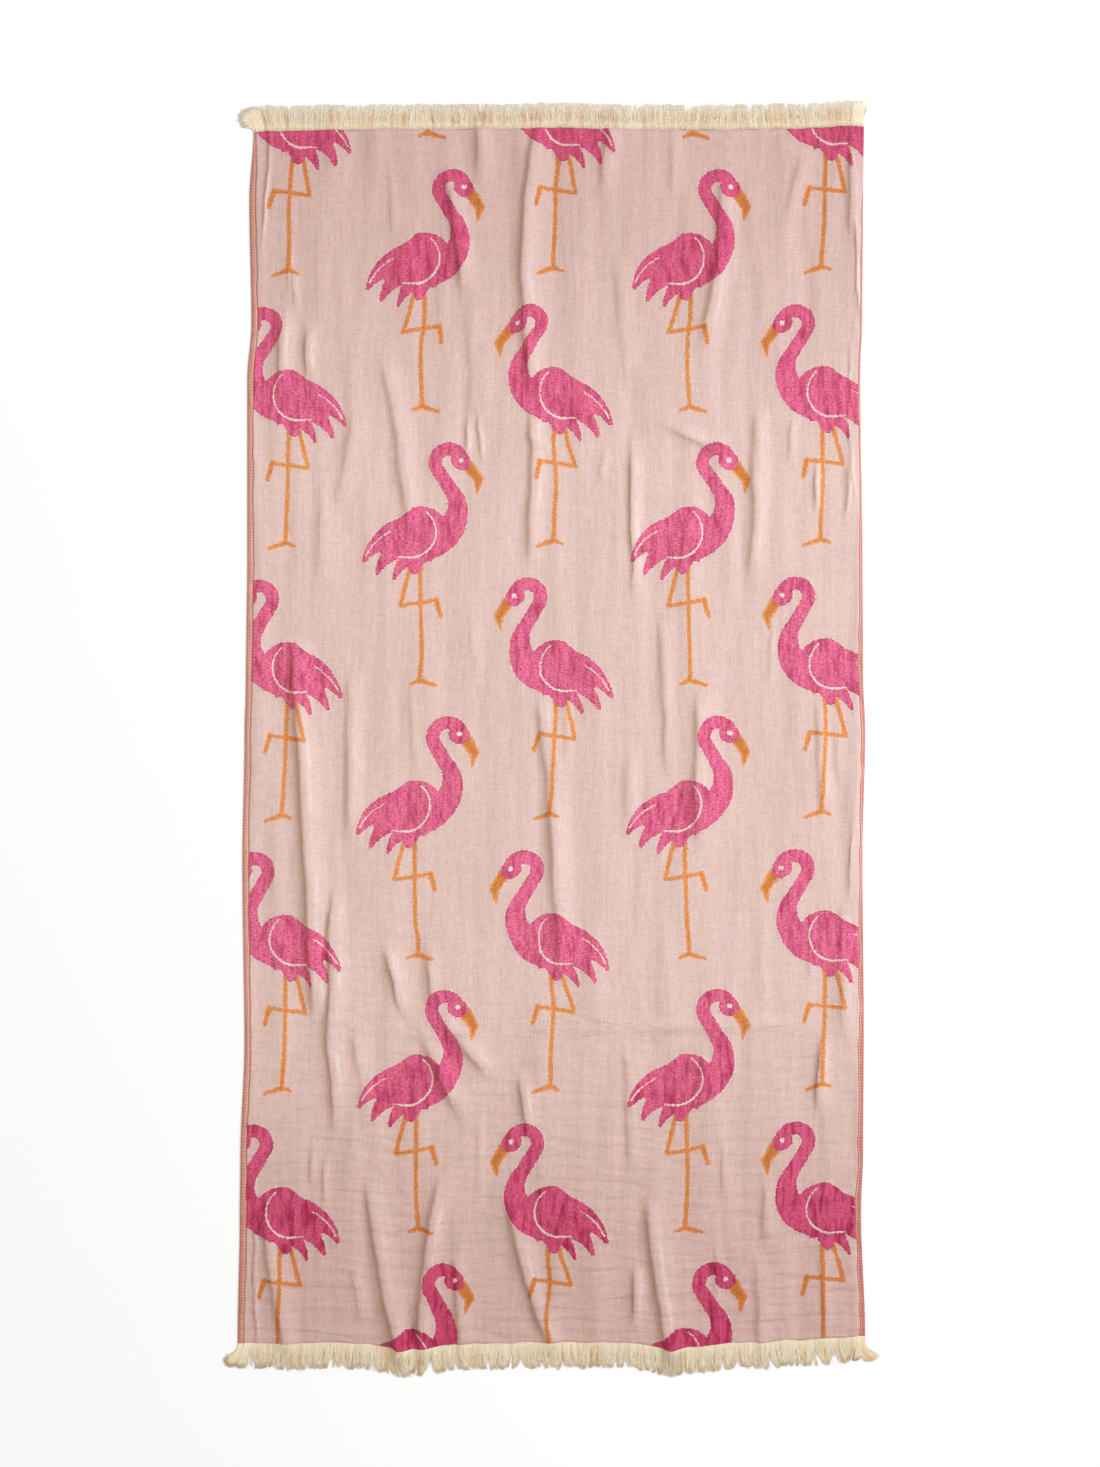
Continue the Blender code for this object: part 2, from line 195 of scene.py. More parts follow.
STEEP_SHARE = 0.60  # the shaded flank's part of a fold's width, much of it a slow rise
LONG_SHARE = 0.64  # the sunny flank's part: folds are drawn a little wider than the solids'
CORE_START = 0.54  # where on the shaded flank the quick rise begins
CORE_PART = 0.56  # the part of the height that the quick rise takes
FADE_LENGTH = 0.070  # a fold rises from flat to its full height over this length
FADE_SHARE = 0.40  # or over this part of a short fold
RIDGE_BLEND = 3.0  # how firmly the higher of two crossing ridges wins

# Lines painted along a fold: a painted highlight on its sunny flank and a line of painted shade
# in its tuck. A line's place off the fold's own line and its width are shares of the fold's width,
# and least is its least width in metres.
Line = namedtuple("Line", "place width least")
PAINTED_HIGHLIGHT_LINE = Line(place=0.24, width=0.050, least=0.0013)
PAINTED_SHADE_LINE = Line(place=-0.10, width=0.045, least=0.0010)
FIRM_SLOPE = 0.20  # a fold that rises by this part of its width shows its lines fully
BRIGHT_BASE = 0.38  # the bright line's strength on an unpinched fold
BRIGHT_PER_PINCH = 0.52  # and what a fold's pinch adds
BRIGHT_SHOWN = 0.55  # how much of the bright line shows where no chance wave breaks it
DARK_SWELL = 0.55  # how far the dark line swells and fades with its fold

# ---- chance waves: size is a height, a width or a share, and the pitches are how far apart the waves
# stand across and along the cloth. Waves along one line have a pitch of 1 m in the other way.
Wave = namedtuple("Wave", "name size pitch_x pitch_y seed")
SWAY_WAVES = (
    Wave("slow_bends", 1.00, 0.090, 0.075, 5),
    Wave("kinks", 0.45, 0.060, 0.024, 15),
    Wave("small_kinks", 0.28, 0.036, 0.012, 19),
)
SWELL_WAVES = (
    Wave("long_swells", 0.24, 0.120, 0.055, 6),
    Wave("short_swells", 0.12, 0.060, 0.026, 17),
)
BRIGHT_BREAKS = (Wave("breaks", 0.75, 0.050, 0.032, 18),)
BAND_WAVES = (
    Wave("bands", 1.00, 0.027, 0.210, 7),
    Wave("narrow_bands", 0.60, 0.016, 0.120, 8),
)
BROAD_WAVES = (Wave("broad", 1.00, 0.050, 0.300, 16),)
PUCKER_WAVES = (Wave("puckers", 1.00, 0.0062, 0.060, 9),)
FIGURE_WAVES = (
    Wave("figure_puckers", 1.00, 0.0115, 0.070, 10),
    Wave("wide_figure_puckers", 1.00, 0.0190, 0.100, 12),
)
CROSS_WAVES = (Wave("cross_wrinkles", 1.00, 0.070, 0.0072, 13),)
FAINT_CROSS_WAVES = (Wave("faint_cross_wrinkles", 0.30, 0.060, 0.011, 14),)
CROSS_REACH = 0.150  # the cross wrinkles fade out over this length from the lower end
LEFT_HEM_WAVES = (Wave("left_hem", 0.0010, 1.0, 0.017, 41),)
RIGHT_HEM_WAVES = (Wave("right_hem", 0.30, 1.0, 0.020, 42),)
END_WAVES = (
    Wave("end_waves", 0.0012, 0.021, 1.0, 0),
    Wave("end_ripples", 0.0007, 0.009, 1.0, 2),
)
END_SEEDS = {1: 21, -1: 22}
END_FOLD_SHARE = {1: 0.22, -1: 0.42}  # how far an end stands out for the height of a fold there
END_WAVE_REACH = 0.012  # how far into the cloth an end's waves reach

# ---- the hems' relief, in metres
HEM_SHOWN = 0.002  # a hem that shows less than this has a shallower groove and a lower puff
EDGE_DROP = 0.0005  # the rounded outer edge
EDGE_ROUND = 0.0009
GROOVE_DEPTH = 0.0004  # between the hem and the face cloth
GROOVE_WIDTH = 0.0006
PUFF_HEIGHT = 0.0012  # the face cloth's edge: it rises over PUFF_RAMP, and falls back past PUFF_TOP
PUFF_RAMP = 0.0008
PUFF_TOP = 0.0015
PUFF_REACH = 0.0055
PUFF_LEAST = 0.35  # the part of the puff that stays where no hem shows
HANG = 0.0006  # how far the puffed edge hangs out over the groove, most at HANG_PLACE from it
HANG_PLACE = 0.0014
HANG_WIDTH = 0.0012
HEM_CALM = 0.006  # creases and waves fade in over this distance from the hem
DEEPEST = 0.0009  # no relief goes deeper than this

# ---- where the mesh is finer
COLUMN_SAMPLES = 1601
ROW_SAMPLES = 3001
CROWD_REACH = 0.8  # how far columns crowd round a quick rise, as a share of its width
CROWD_LEAST_REACH = 0.004  # and in metres, at least
CROWD_PLACE = 0.4  # where they crowd most, as a share of its width from the crest
CROWD_FULL_RISE = 0.006  # a fold at least this high draws columns fully
CROWD_MOST = 1.3  # what several folds together can draw
CROWD_SHARE = 1.3  # how much closer columns then stand
HEM_CROWD = 2.6
HEM_CROWD_REACH = 0.0035
LOW_END_ROWS = 1.9  # how much closer rows stand at the lower end
LOW_END_REACH = 0.16
CloseRows = namedtuple("CloseRows", "name y reach extra")
CLOSE_ROWS = (
    CloseRows("right_diagonal", 0.432, 0.035, 1.4),
    CloseRows("lower_diagonals", -0.475, 0.075, 1.2),
)

# The cloth's bake map: the face takes its left part, and the back the rest.
FACE_MAP_WIDTH = 0.80
BACK_MAP_START = 0.82
BACK_MAP_WIDTH = 0.18

# ---- the woven bird, in millimetres of flat cloth from the middle of its cell, facing -X
# A stroke is a line from (x0, y0) to (x1, y1) with round ends, half0 and half1 wide each side.
# An arc runs counter-clockwise from turn0 to turn1 degrees round (x, y).
Stroke = namedtuple("Stroke", "name x0 y0 half0 x1 y1 half1")
Arc = namedtuple("Arc", "name x y radius half0 half1 turn0 turn1")
PLUMAGE = (
    Stroke("body", 2, 38, 41, 46, 26, 22),
    Arc("back_feathers", 18, -32, 72, 2.5, 27, 22, 92),
    Arc("wing_feathers", -2, -42, 70, 2.5, 23, 16, 84),
    Arc("low_feathers", -20, -44, 62, 2.0, 20, 14, 84),
    Stroke("thigh", 6, 4, 14, 10, -12, 8),
    Arc("chest", -4, 74, 47, 10.5, 25, 146, 256),
    Stroke("neck", -42.5, 100.5, 10.5, -24, 132, 9.8),
    Arc("crook", -41, 142, 20, 9.8, 9.4, -34, 186),
    Stroke("head", -60, 143, 13.2, -57, 145, 13.2),
)
BEAK_AND_LEGS = (
    Stroke("beak", -69, 136, 9.2, -82, 116, 7.2),
    Stroke("beak_tip", -82, 116, 7.2, -79, 96, 1.5),
    Stroke("standing_thigh", 2, -10, 3.5, 0, -92, 3.1),
    Stroke("standing_shin", 0, -92, 3.1, -3, -174, 3.5),
    Stroke("toes", -3, -175, 4.4, -27, -183, 2.5),
    Stroke("heel", -3, -175, 4.0, 10, -180, 2.3),
    Stroke("raised_thigh", 16, -6, 3.3, 30, -66, 3.3),
    Stroke("raised_shin", 30, -66, 3.3, -22, -58, 3.0),
    Stroke("raised_toes", -22, -58, 4.2, -29, -82, 3.4),
)
PALE_LINES = (
    Arc("wing_line", 18, 42, 38, 0.9, 1.7, 128, 262),
    Stroke("wing_line_low", 12.7, 4.4, 1.7, 34, 5, 0.9),
    Arc("feather_line", 6, -32, 84, 1.1, 0.8, 26, 62),
    Stroke("eye", -60, 145, 3.4, -59, 145, 3.4),
)

FIGURE_SOFTNESS = 6  # the puckers fade in over this distance at a figure's edge
RAGGED = 0.75  # how far the edges' thread steps stray
HALO_WIDTH = 2.2  # the faint pale line round the plumage
HALO_COLOUR = 0.38  # and how much of the pale colour it has

# ---- chance patterns of the weave: patches some width by height millimetres of flat cloth. Those
# by thread change from thread step to thread step only.
Grain = namedtuple("Grain", "name width height detail roughness by_thread shift distortion",
                   defaults=(2.0, 0.5, False, (0, 0), 0.0))
FACE_GRAINS = (
    Grain("lilac", 17, 2.0, roughness=0.6),
    Grain("peach", 21.25, 2.5, roughness=0.6, shift=(25.36, 9.84)),
    Grain("mottle", 5.2, 2.0, roughness=0.75, by_thread=True),
    Grain("warp", 1.4, 22, detail=1.0),  # wider than real warp threads, to show
    Grain("band", 18, 150),
    # painted shade: deep pink bands in the figures that stand for the shade of their puckers
    Grain("painted_pucker_shade", 10, 42, detail=3.0, roughness=0.6),
    Grain("ripple", 66, 12, detail=0.6, distortion=0.35),
    Grain("pucker", 8, 60, detail=1.0),
)
BACK_GRAINS = (Grain("streak", 13, 1.6),)

# How a pattern tints a colour: from none at start to the share most at full. colour names one of the
# cloth's settings.
Tint = namedtuple("Tint", "grain start full most colour")
GROUND_TINTS = (
    Tint("lilac", 0.42, 0.70, 0.62, "lilac"),
    Tint("peach", 0.44, 0.70, 0.55, "peach"),
    Tint("mottle", 0.48, 0.30, 0.75, "lilac"),
    Tint("mottle", 0.54, 0.72, 0.70, "peach"),
)
PINK_TINTS = (
    Tint("mottle", 0.44, 0.66, 0.95, "plumage_warm"),
    Tint("mottle", 0.48, 0.32, 0.75, "plumage_deep_and_pucker_shade"),
    Tint("thread", 0.55, 1.00, 0.90, "plumage_bright"),
)
# A fold's bright line is a painted highlight: the pale weft's colour mixed in on its sunny flank.
CREST_HIGHLIGHT_COLOUR = 0.74  # how much of the pale weft's colour a fold's bright line has
# A fold's dark line is painted shade: a warm tint multiplied in at its tuck.
TUCK_SHADE_COLOUR = 0.68  # how much of the tuck's tint its dark line has
# Painted shade: pink and orange darken towards both ends, as the light falls off there. These give how far.
PINK_UPPER_END_SHADE = 0.42  # how far the pink deepens with the dye at the upper end
PINK_LOWER_END_SHADE = 0.66  # and at the lower one
ORANGE_END_SHADE = 0.35  # how far the orange deepens at both
STITCH_PLACE = 2.6  # the hem's stitch line, in millimetres from the face cloth
RIB_PITCH = 4.5  # from one rib of the hem to the next, in millimetres
RIGHT_HEM_DEEPER = 0.50  # how much more of the deep coral the right hem has

# Relief of the weave, in metres.
THREAD_RELIEF = 0.00005
BACK_THREAD_RELIEF = 0.00006
WEFT_RELIEF = 0.00022
WARP_RELIEF = 0.00008
FIGURE_RELIEF = 0.00045
LINE_RELIEF = -0.00040
RIPPLE_RELIEF = 0.0006
LOW_RIPPLE_RELIEF = 0.0030
PUCKER_RELIEF = 0.0007
FIGURE_PUCKER_RELIEF = 0.0021
RIB_RELIEF = 0.00022

# ---- the fringes
# end is +1 for the end at +Y and -1 for the other. A fringe's yarns hang together in tufts from
# tuft_low to tuft_high wide, and these in locks from lock_low to lock_high wide. tuft_gather and
# lock_gather are how far yarns draw to their middle at the tip, tuft_lean and lock_lean how far
# tufts and locks lean, sway how far the whole fringe does, and stray how far single yarns do. Yarns
# are shorter by the share point at the sides of a tuft or lock, tufts and locks differ in length by
# the share uneven, and single yarns fall short by up to the share short. The yarns hold together over
# the solid share of their length. The corners fan out by turn_left and turn_right degrees within
# corner_left and corner_right, their outermost yarns shortened by curl_left and curl_right. deep is
# how much more golden its yarns are, and tip is above 0 for brushed pale tips and below 0 for tan ones.
Fringe = namedtuple(
    "Fringe",
    "name node end length tuft_low tuft_high tuft_gather tuft_lean lock_low lock_high lock_gather "
    "lock_lean sway stray point uneven short turn_left turn_right corner_left corner_right curl_left "
    "curl_right solid deep tip seed",
)
FRINGES = (
    Fringe(
        name="fringe_yarns_top", node="fringe_top", end=1, length=0.0380, tuft_low=0.010, tuft_high=0.026,
        tuft_gather=0.03, tuft_lean=0.0014, lock_low=0.0016, lock_high=0.0050, lock_gather=0.02,
        lock_lean=0.0012, sway=0.0056, stray=0.0026, point=0.0, uneven=0.018, short=0.38, turn_left=118,
        turn_right=14, corner_left=0.0118, corner_right=0.0100, curl_left=0.66, curl_right=0.10,
        solid=0.14, deep=0.0, tip=0.8, seed=11,
    ),
    # In the lower fringe deep is below 0 as painted light: its yarns are paler, to make up for the dimmer
    # light at the lower end.
    Fringe(
        name="fringe_yarns_bottom", node="fringe_bottom", end=-1, length=0.0400, tuft_low=0.009,
        tuft_high=0.024, tuft_gather=0.14, tuft_lean=0.0032, lock_low=0.0026, lock_high=0.0080,
        lock_gather=0.12, lock_lean=0.0022, sway=0.0034, stray=0.0014, point=0.03, uneven=0.034,
        short=0.30, turn_left=74, turn_right=52, corner_left=0.0150, corner_right=0.0070, curl_left=0.16,
        curl_right=0.0, solid=0.32, deep=-0.16, tip=-0.38, seed=29,
    ),
)

# Chance waves along a fringe. The fringe's own seed is added to theirs.
LEAN_WAVES = (
    Wave("whole_fringe", 1.00, 0.045, 1.0, 0),
    Wave("near_by", 0.35, 0.011, 1.0, 7),
)
CURL_WAVES = (Wave("curls", 0.0024, 0.014, 1.0, 8),)
SHADE_WAVES = (Wave("shades", 0.28, 0.0036, 1.0, 9),)
STRIP_WAVES = (Wave("strip_edge", 0.30, 0.005, 1.0, 3),)

MOST_BUNCHES = 700  # more than any fringe has
ROOT_MARGIN = 0.0012  # the outermost yarns' distance from the corners, as a share of the width
CORNER_CROWD = 0.016  # the corners' extra yarns stand within this share of the width
ROOT_INSET = 0.0004  # the fringe begins this far inside the cloth's end
FLOOR_CLEARANCE = 0.0002
PULL_BASE = 0.42  # how firmly a corner bends the lowest yarns
PULL_PER_LAYER = 0.72  # and how much more the highest ones
FREE_PULL = 0.45  # yarns pulled more than this are shortened, and the others are a little longer
LAYER_LOW = 0.62  # height of the lowest yarns at their roots, in thicknesses of the cloth
LOCK_CROWN = 0.0005  # how high a lock's middle stands
# The lower layers' part is painted shade: yarns lying deeper are more golden, as the warm shade between
# yarns.
YARN_SHADE = 0.28  # what single yarns, lower layers and locks add to the golden shade
DEEP_LAYER_PAINTED_SHADE = 0.22
LOCK_SHADE = 0.22
BASE_SHADE = 0.18
STRIP_SHADE = 0.55
STRIP_SHADE_SPREAD = 0.35
STRIP_SEED = 5
FIBRES_PER_METRE = (1400, 160, 900)
FIBRE_RELIEF = 0.00030

# A fringe's bake map: how high up each of its parts begins.
YARN_MAP_FOOT = 0.02
YARN_MAP_LENGTH = 0.88
TIP_MAP_FOOT = 0.905
END_MAP_FOOT = 0.92
STRIP_MAP_FOOT = 0.94
MAP_SLIVER = 0.015

SENSOR_WIDTH = 36.0  # the camera's, in millimetres


def linear(code):
    """A colour written as sRGB hex, such as E3C6BC, as linear red, green, blue and 1."""
    parts = [int(code[place:place + 2], 16) / 255 for place in (0, 2, 4)]
    return [part / 12.92 if part <= 0.04045 else ((part + 0.055) / 1.055) ** 2.4 for part in parts] + [1.0]


# ======================================================================== settings


class ClothSettings(bpy.types.PropertyGroup):
    """Sizes and colours of the woven cloth."""

    width: bpy.props.FloatProperty(
        name="Width", description="Nominal width as it lies", default=0.890, unit="LENGTH")
    length: bpy.props.FloatProperty(
        name="Length", description="Nominal length as it lies, without fringes",
        default=1.760, unit="LENGTH")
    flat_width: bpy.props.FloatProperty(
        name="Cut width", description="Width of the cloth pulled flat", default=0.900, unit="LENGTH")
    flat_length: bpy.props.FloatProperty(
        name="Cut length", description="Length of the cloth pulled flat", default=1.780, unit="LENGTH")
    thickness: bpy.props.FloatProperty(
        name="Thickness", description="Two layers of gauze", default=0.0015, unit="LENGTH")
    columns: bpy.props.IntProperty(
        name="Columns", description="Mesh columns across the face, an even number", default=300)
    rows: bpy.props.IntProperty(
        name="Rows", description="Mesh rows along the face, an even number", default=256)
    lean: bpy.props.FloatProperty(
        name="Fold lean", description="How far a crest hangs over its steep side, as a share of its height",
        default=0.14, subtype="FACTOR")
    sway: bpy.props.FloatProperty(
        name="Fold sway", description="How far folds wander from their lines",
        default=0.0030, unit="LENGTH")
    band_rise: bpy.props.FloatProperty(
        name="Soft bands", description="Height of the broad soft waves along the cloth",
        default=0.00170, unit="LENGTH")
    wave_rise: bpy.props.FloatProperty(
        name="Broad waves", description="Height of the broadest waves", default=0.0020, unit="LENGTH")
    pucker_rise: bpy.props.FloatProperty(
        name="Puckers", description="Height of the narrow puckers", default=0.00010, unit="LENGTH")
    figure_pucker_rise: bpy.props.FloatProperty(
        name="Figure puckers", description="Height of the puckers in the woven figures",
        default=0.00060, unit="LENGTH")
    cross_rise: bpy.props.FloatProperty(
        name="Cross wrinkles", description="Height of the wrinkles across the lower end",
        default=0.00080, unit="LENGTH")
    thread: bpy.props.FloatProperty(
        name="Thread step (mm)", description="Step of the woven figures' edges", default=1.25)
    ground: bpy.props.FloatVectorProperty(
        name="Ground", description="The pale dusty pink ground", default=linear("DEC4BA"),
        size=4, subtype="COLOR")
    # Painted shade: what the colour is multiplied by towards both ends, to darken them as the light falls
    # off there.
    painted_end_shade: bpy.props.FloatVectorProperty(
        name="End tint", description="What the dye is multiplied by at the ends, where it is deeper",
        default=linear("E2D6D5"), size=4, subtype="COLOR")
    # Painted shade: what the colour along a tuck's foot is multiplied by.
    painted_tuck_shade: bpy.props.FloatVectorProperty(
        name="Tuck tint", description="What a pressed tuck's foot is multiplied by",
        default=linear("D2B8A4"), size=4, subtype="COLOR")
    lilac: bpy.props.FloatVectorProperty(
        name="Lilac weft", description="Weft streaks of lilac", default=linear("D4B5C0"),
        size=4, subtype="COLOR")
    peach: bpy.props.FloatVectorProperty(
        name="Peach weft", description="Weft streaks of peach", default=linear("DDB696"),
        size=4, subtype="COLOR")
    # crest: the colour of the painted highlight along each fold's sunny flank.
    crest: bpy.props.FloatVectorProperty(
        name="Crest", description="The pale weft that shows where a fold is pinched",
        default=linear("F0E4D6"), size=4, subtype="COLOR")
    contour: bpy.props.FloatVectorProperty(
        name="Contour", description="Pale lines in and round the figures", default=linear("EED4CA"),
        size=4, subtype="COLOR")
    plumage: bpy.props.FloatVectorProperty(
        name="Plumage", description="Magenta pink of the birds", default=linear("E26A90"),
        size=4, subtype="COLOR")
    plumage_warm: bpy.props.FloatVectorProperty(
        name="Warm plumage", description="Salmon mottles in the pink", default=linear("EA868C"),
        size=4, subtype="COLOR")
    plumage_bright: bpy.props.FloatVectorProperty(
        name="Bright plumage", description="Threads of purer magenta in the pink",
        default=linear("D64C94"), size=4, subtype="COLOR")
    # Deep threads in the pink, and the colour of the painted shade along its puckers.
    plumage_deep_and_pucker_shade: bpy.props.FloatVectorProperty(
        name="Deep plumage", description="Pucker bands in the pink", default=linear("A82450"),
        size=4, subtype="COLOR")
    # The pink that the plumage is painted towards at both ends, as painted shade.
    plumage_end_shade: bpy.props.FloatVectorProperty(
        name="Plumage at the ends", description="The pink near both ends, deeper",
        default=linear("C4105A"), size=4, subtype="COLOR")
    beak: bpy.props.FloatVectorProperty(
        name="Beak and legs", description="Orange of beaks and legs", default=linear("E89C62"),
        size=4, subtype="COLOR")
    beak_deep: bpy.props.FloatVectorProperty(
        name="Deep orange", description="Darker threads in the orange", default=linear("C3702A"),
        size=4, subtype="COLOR")
    coral: bpy.props.FloatVectorProperty(
        name="Coral hem", description="The hems and the back", default=linear("DB9E91"),
        size=4, subtype="COLOR")
    coral_light: bpy.props.FloatVectorProperty(
        name="Light coral", description="The hem's raised ribs and stitch line", default=linear("F2C0A8"),
        size=4, subtype="COLOR")
    # Deep coral: the right hem's colour, and painted shade between the hem's raised ribs.
    coral_deep_and_rib_shade: bpy.props.FloatVectorProperty(
        name="Deep coral", description="Between the hem's ribs", default=linear("C2776C"),
        size=4, subtype="COLOR")


class RepeatSettings(bpy.types.PropertyGroup):
    """How the woven birds repeat over the cloth."""

    column_pitch: bpy.props.FloatProperty(
        name="Column pitch (mm)", description="From one column of birds to the next", default=196.0)
    row_pitch: bpy.props.FloatProperty(
        name="Row pitch (mm)", description="From one bird to the next below it", default=400.0)
    first_x: bpy.props.FloatProperty(
        name="First column (mm)", description="Middle of the first column from the left edge",
        default=58.0)
    first_y: bpy.props.FloatProperty(
        name="First row (mm)", description="Middle of the first bird from the lower end", default=150.0)


class FringeSettings(bpy.types.PropertyGroup):
    """Sizes and colours of the fringe yarns."""

    yarns: bpy.props.IntProperty(
        name="Yarns", description="Yarns in each fringe", default=6000)
    corner_yarns: bpy.props.IntProperty(
        name="Corner yarns", description="How many of them crowd at each corner", default=360)
    rings: bpy.props.IntProperty(
        name="Rings", description="Rings of points along a yarn", default=6)
    strip_cells: bpy.props.IntProperty(
        name="Strip cells", description="Mesh cells along the woven strip", default=480)
    thickness: bpy.props.FloatProperty(
        name="Yarn thickness", description="At the root", default=0.00056, unit="LENGTH")
    strip: bpy.props.FloatProperty(
        name="Woven strip", description="Cream rows of cloth at the roots", default=0.0090, unit="LENGTH")
    cream: bpy.props.FloatVectorProperty(
        name="Cream", description="Most of the yarn", default=linear("F7E8CC"), size=4, subtype="COLOR")
    pale: bpy.props.FloatVectorProperty(
        name="Pale tips", description="Brushed tips", default=linear("FAF1E0"), size=4, subtype="COLOR")
    golden: bpy.props.FloatVectorProperty(
        name="Golden", description="Deeper yarns", default=linear("E8B985"), size=4, subtype="COLOR")
    tan: bpy.props.FloatVectorProperty(
        name="Tan tips", description="Tips at the lower end", default=linear("CFA373"),
        size=4, subtype="COLOR")


class StageSettings(bpy.types.PropertyGroup):
    """The plain floor, the soft light and the camera straight above."""

    floor: bpy.props.FloatVectorProperty(
        name="Floor", description="Plain pale floor", default=linear("FBFDFF"), size=4, subtype="COLOR")
    floor_size: bpy.props.FloatProperty(
        name="Floor size", description="Side of the floor", default=40.0, unit="LENGTH")
    floor_drop: bpy.props.FloatProperty(
        name="Floor drop", description="How far the floor lies under the towel",
        default=0.0004, unit="LENGTH")
    key: bpy.props.FloatProperty(
        name="Key light", description="What the key throws on a surface facing it, in watts a square metre",
        default=2.70)
    key_tint: bpy.props.FloatVectorProperty(
        name="Key tint", description="Colour of the key light, a little cool",
        default=(0.89, 1.0, 1.18), size=3, subtype="COLOR")
    key_height: bpy.props.FloatProperty(
        name="Key height", description="Angle of the key light above the floor",
        default=math.radians(38), subtype="ANGLE")
    key_turn: bpy.props.FloatProperty(
        name="Key turn", description="How far the key is turned from the right side to the upper end",
        default=math.radians(26), subtype="ANGLE")
    key_distance: bpy.props.FloatProperty(
        name="Key distance", description="From the towel's middle", default=7.0, unit="LENGTH")
    key_size: bpy.props.FloatProperty(
        name="Key size", description="Side of the square softbox", default=4.6, unit="LENGTH")
    fill: bpy.props.FloatProperty(
        name="Fill", description="Strength of the light from all sides", default=0.62)
    fill_tint: bpy.props.FloatVectorProperty(
        name="Fill tint", description="Colour of the light from all sides, a little warm",
        default=(1.09, 1.0, 0.85), size=3, subtype="COLOR")
    camera_height: bpy.props.FloatProperty(
        name="Camera height", description="Above the floor", default=6.0, unit="LENGTH")
    camera_x: bpy.props.FloatProperty(
        name="Camera place", description="Place across the towel", default=0.0007, unit="LENGTH")
    camera_y: bpy.props.FloatProperty(
        name="Camera place along", description="Place along the towel", default=0.0060, unit="LENGTH")
    view_height: bpy.props.FloatProperty(
        name="View height", description="Length of floor that the picture shows",
        default=2.124, unit="LENGTH")


# ======================================================================== arrays and meshes


def ramp(share):
    """An S-shaped ramp: 0 at 0 and 1 at 1, level at both."""
    return share * share * (3 - 2 * share)


def eased(at, places, values):
    """Values read between table rows along an S-shaped ramp, so that no row leaves a corner."""
    places, values = np.asarray(places), np.asarray(values)
    at = np.clip(at, places[0], places[-1])
    row = np.clip(np.searchsorted(places, at, side="right") - 1, 0, len(places) - 2)
    share = (at - places[row]) / (places[row + 1] - places[row])
    return values[row] + (values[row + 1] - values[row]) * ramp(share)


def drift(x, y, pitch_x, pitch_y, seed):
    """Smooth chance waves from -1 to 1: seeded values on a lattice of pitch_x by pitch_y, joined
    by S-shaped ramps both ways."""
    rng = np.random.default_rng(seed)
    across = x / pitch_x + rng.uniform(400, 500)
    along = y / pitch_y + rng.uniform(400, 500)
    column, row = np.floor(across).astype(int), np.floor(along).astype(int)
    ramp_x, ramp_y = ramp(across - column), ramp(along - row)
    column -= column.min()
    row -= row.min()
    lattice = rng.uniform(-1, 1, (row.max() + 2, column.max() + 2))
    low = lattice[row, column] * (1 - ramp_x) + lattice[row, column + 1] * ramp_x
    high = lattice[row + 1, column] * (1 - ramp_x) + lattice[row + 1, column + 1] * ramp_x
    return low * (1 - ramp_y) + high * ramp_y


def waves(table, x, y, seed=0):
    """The sum of a table's chance waves, each times its size. seed is added to each wave's own."""
    return sum(wave.size * drift(x, y, wave.pitch_x, wave.pitch_y, wave.seed + seed) for wave in table)


def grid_faces(rows, columns, first):
    """Quads of a grid of rows by columns cells whose points are numbered row by row from first."""
    row, column = np.meshgrid(np.arange(rows), np.arange(columns), indexing="ij")
    corner = first + row * (columns + 1) + column
    return np.stack([corner, corner + 1, corner + columns + 2, corner + columns + 1], -1).reshape(-1, 4)


def make_piece(name, points, loops, counts, materials, material_of_face):
    """Puts whole arrays into a mesh: points, the corners of all faces in a row, and each face's count."""
    mesh = bpy.data.meshes.new(name)
    mesh.vertices.add(len(points))
    mesh.vertices.foreach_set("co", np.ascontiguousarray(points, np.float32).ravel())
    mesh.loops.add(len(loops))
    mesh.loops.foreach_set("vertex_index", np.ascontiguousarray(loops, np.int32))
    mesh.polygons.add(len(counts))
    starts = np.concatenate([[0], np.cumsum(counts)[:-1]])
    mesh.polygons.foreach_set("loop_start", np.ascontiguousarray(starts, np.int32))
    mesh.polygons.foreach_set("material_index", np.ascontiguousarray(material_of_face, np.int32))
    mesh.update(calc_edges=True)
    mesh.shade_smooth()
    for material in materials:
        mesh.materials.append(material)
    made = bpy.data.objects.new(name, mesh)
    bpy.context.scene.collection.objects.link(made)
    return made


def add_map(mesh, name, places):
    """A UV map from one place for each face corner."""
    layer = mesh.uv_layers.new(name=name, do_init=False)
    layer.uv.foreach_set("vector", np.ascontiguousarray(places, np.float32).ravel())


def add_attribute(mesh, name, values):
    """A number for each point."""
    layer = mesh.attributes.new(name, "FLOAT", "POINT")
    layer.data.foreach_set("value", np.ascontiguousarray(values, np.float32))


# ======================================================================== the laid cloth

# Arrays by row and column of the mesh, as lay_cloth's docstring lists them.
# crest and tuck hold the folds' painted highlight and painted shade line.
Laid = namedtuple("Laid", "face under flat hem crest tuck")


def spread(cloth, across, along):
    """The place in plan of a point of the cloth. across and along run from 0 to 1."""
    straight_x = (across - 0.5) * cloth.width
    straight_y = (along - 0.5) * cloth.length
    side_y = [row.y for row in SIDES]
    left = eased(straight_y, side_y, [row.left for row in SIDES])
    right = eased(straight_y, side_y, [row.right for row in SIDES])
    end_x = [row.x for row in ENDS]
    top = eased(straight_x, end_x, [row.top for row in ENDS])
    bottom = eased(straight_x, end_x, [row.bottom for row in ENDS])
    x = straight_x + right * across - left * (1 - across)
    y = straight_y + top * along - bottom * (1 - along)
    return x, y


def end_wave(x, folds, end):
    """How far a cloth end stands out: small waves, and more where folds run out to it."""
    return waves(END_WAVES, x, np.zeros_like(x), END_SEEDS[end]) + END_FOLD_SHARE[end] * folds


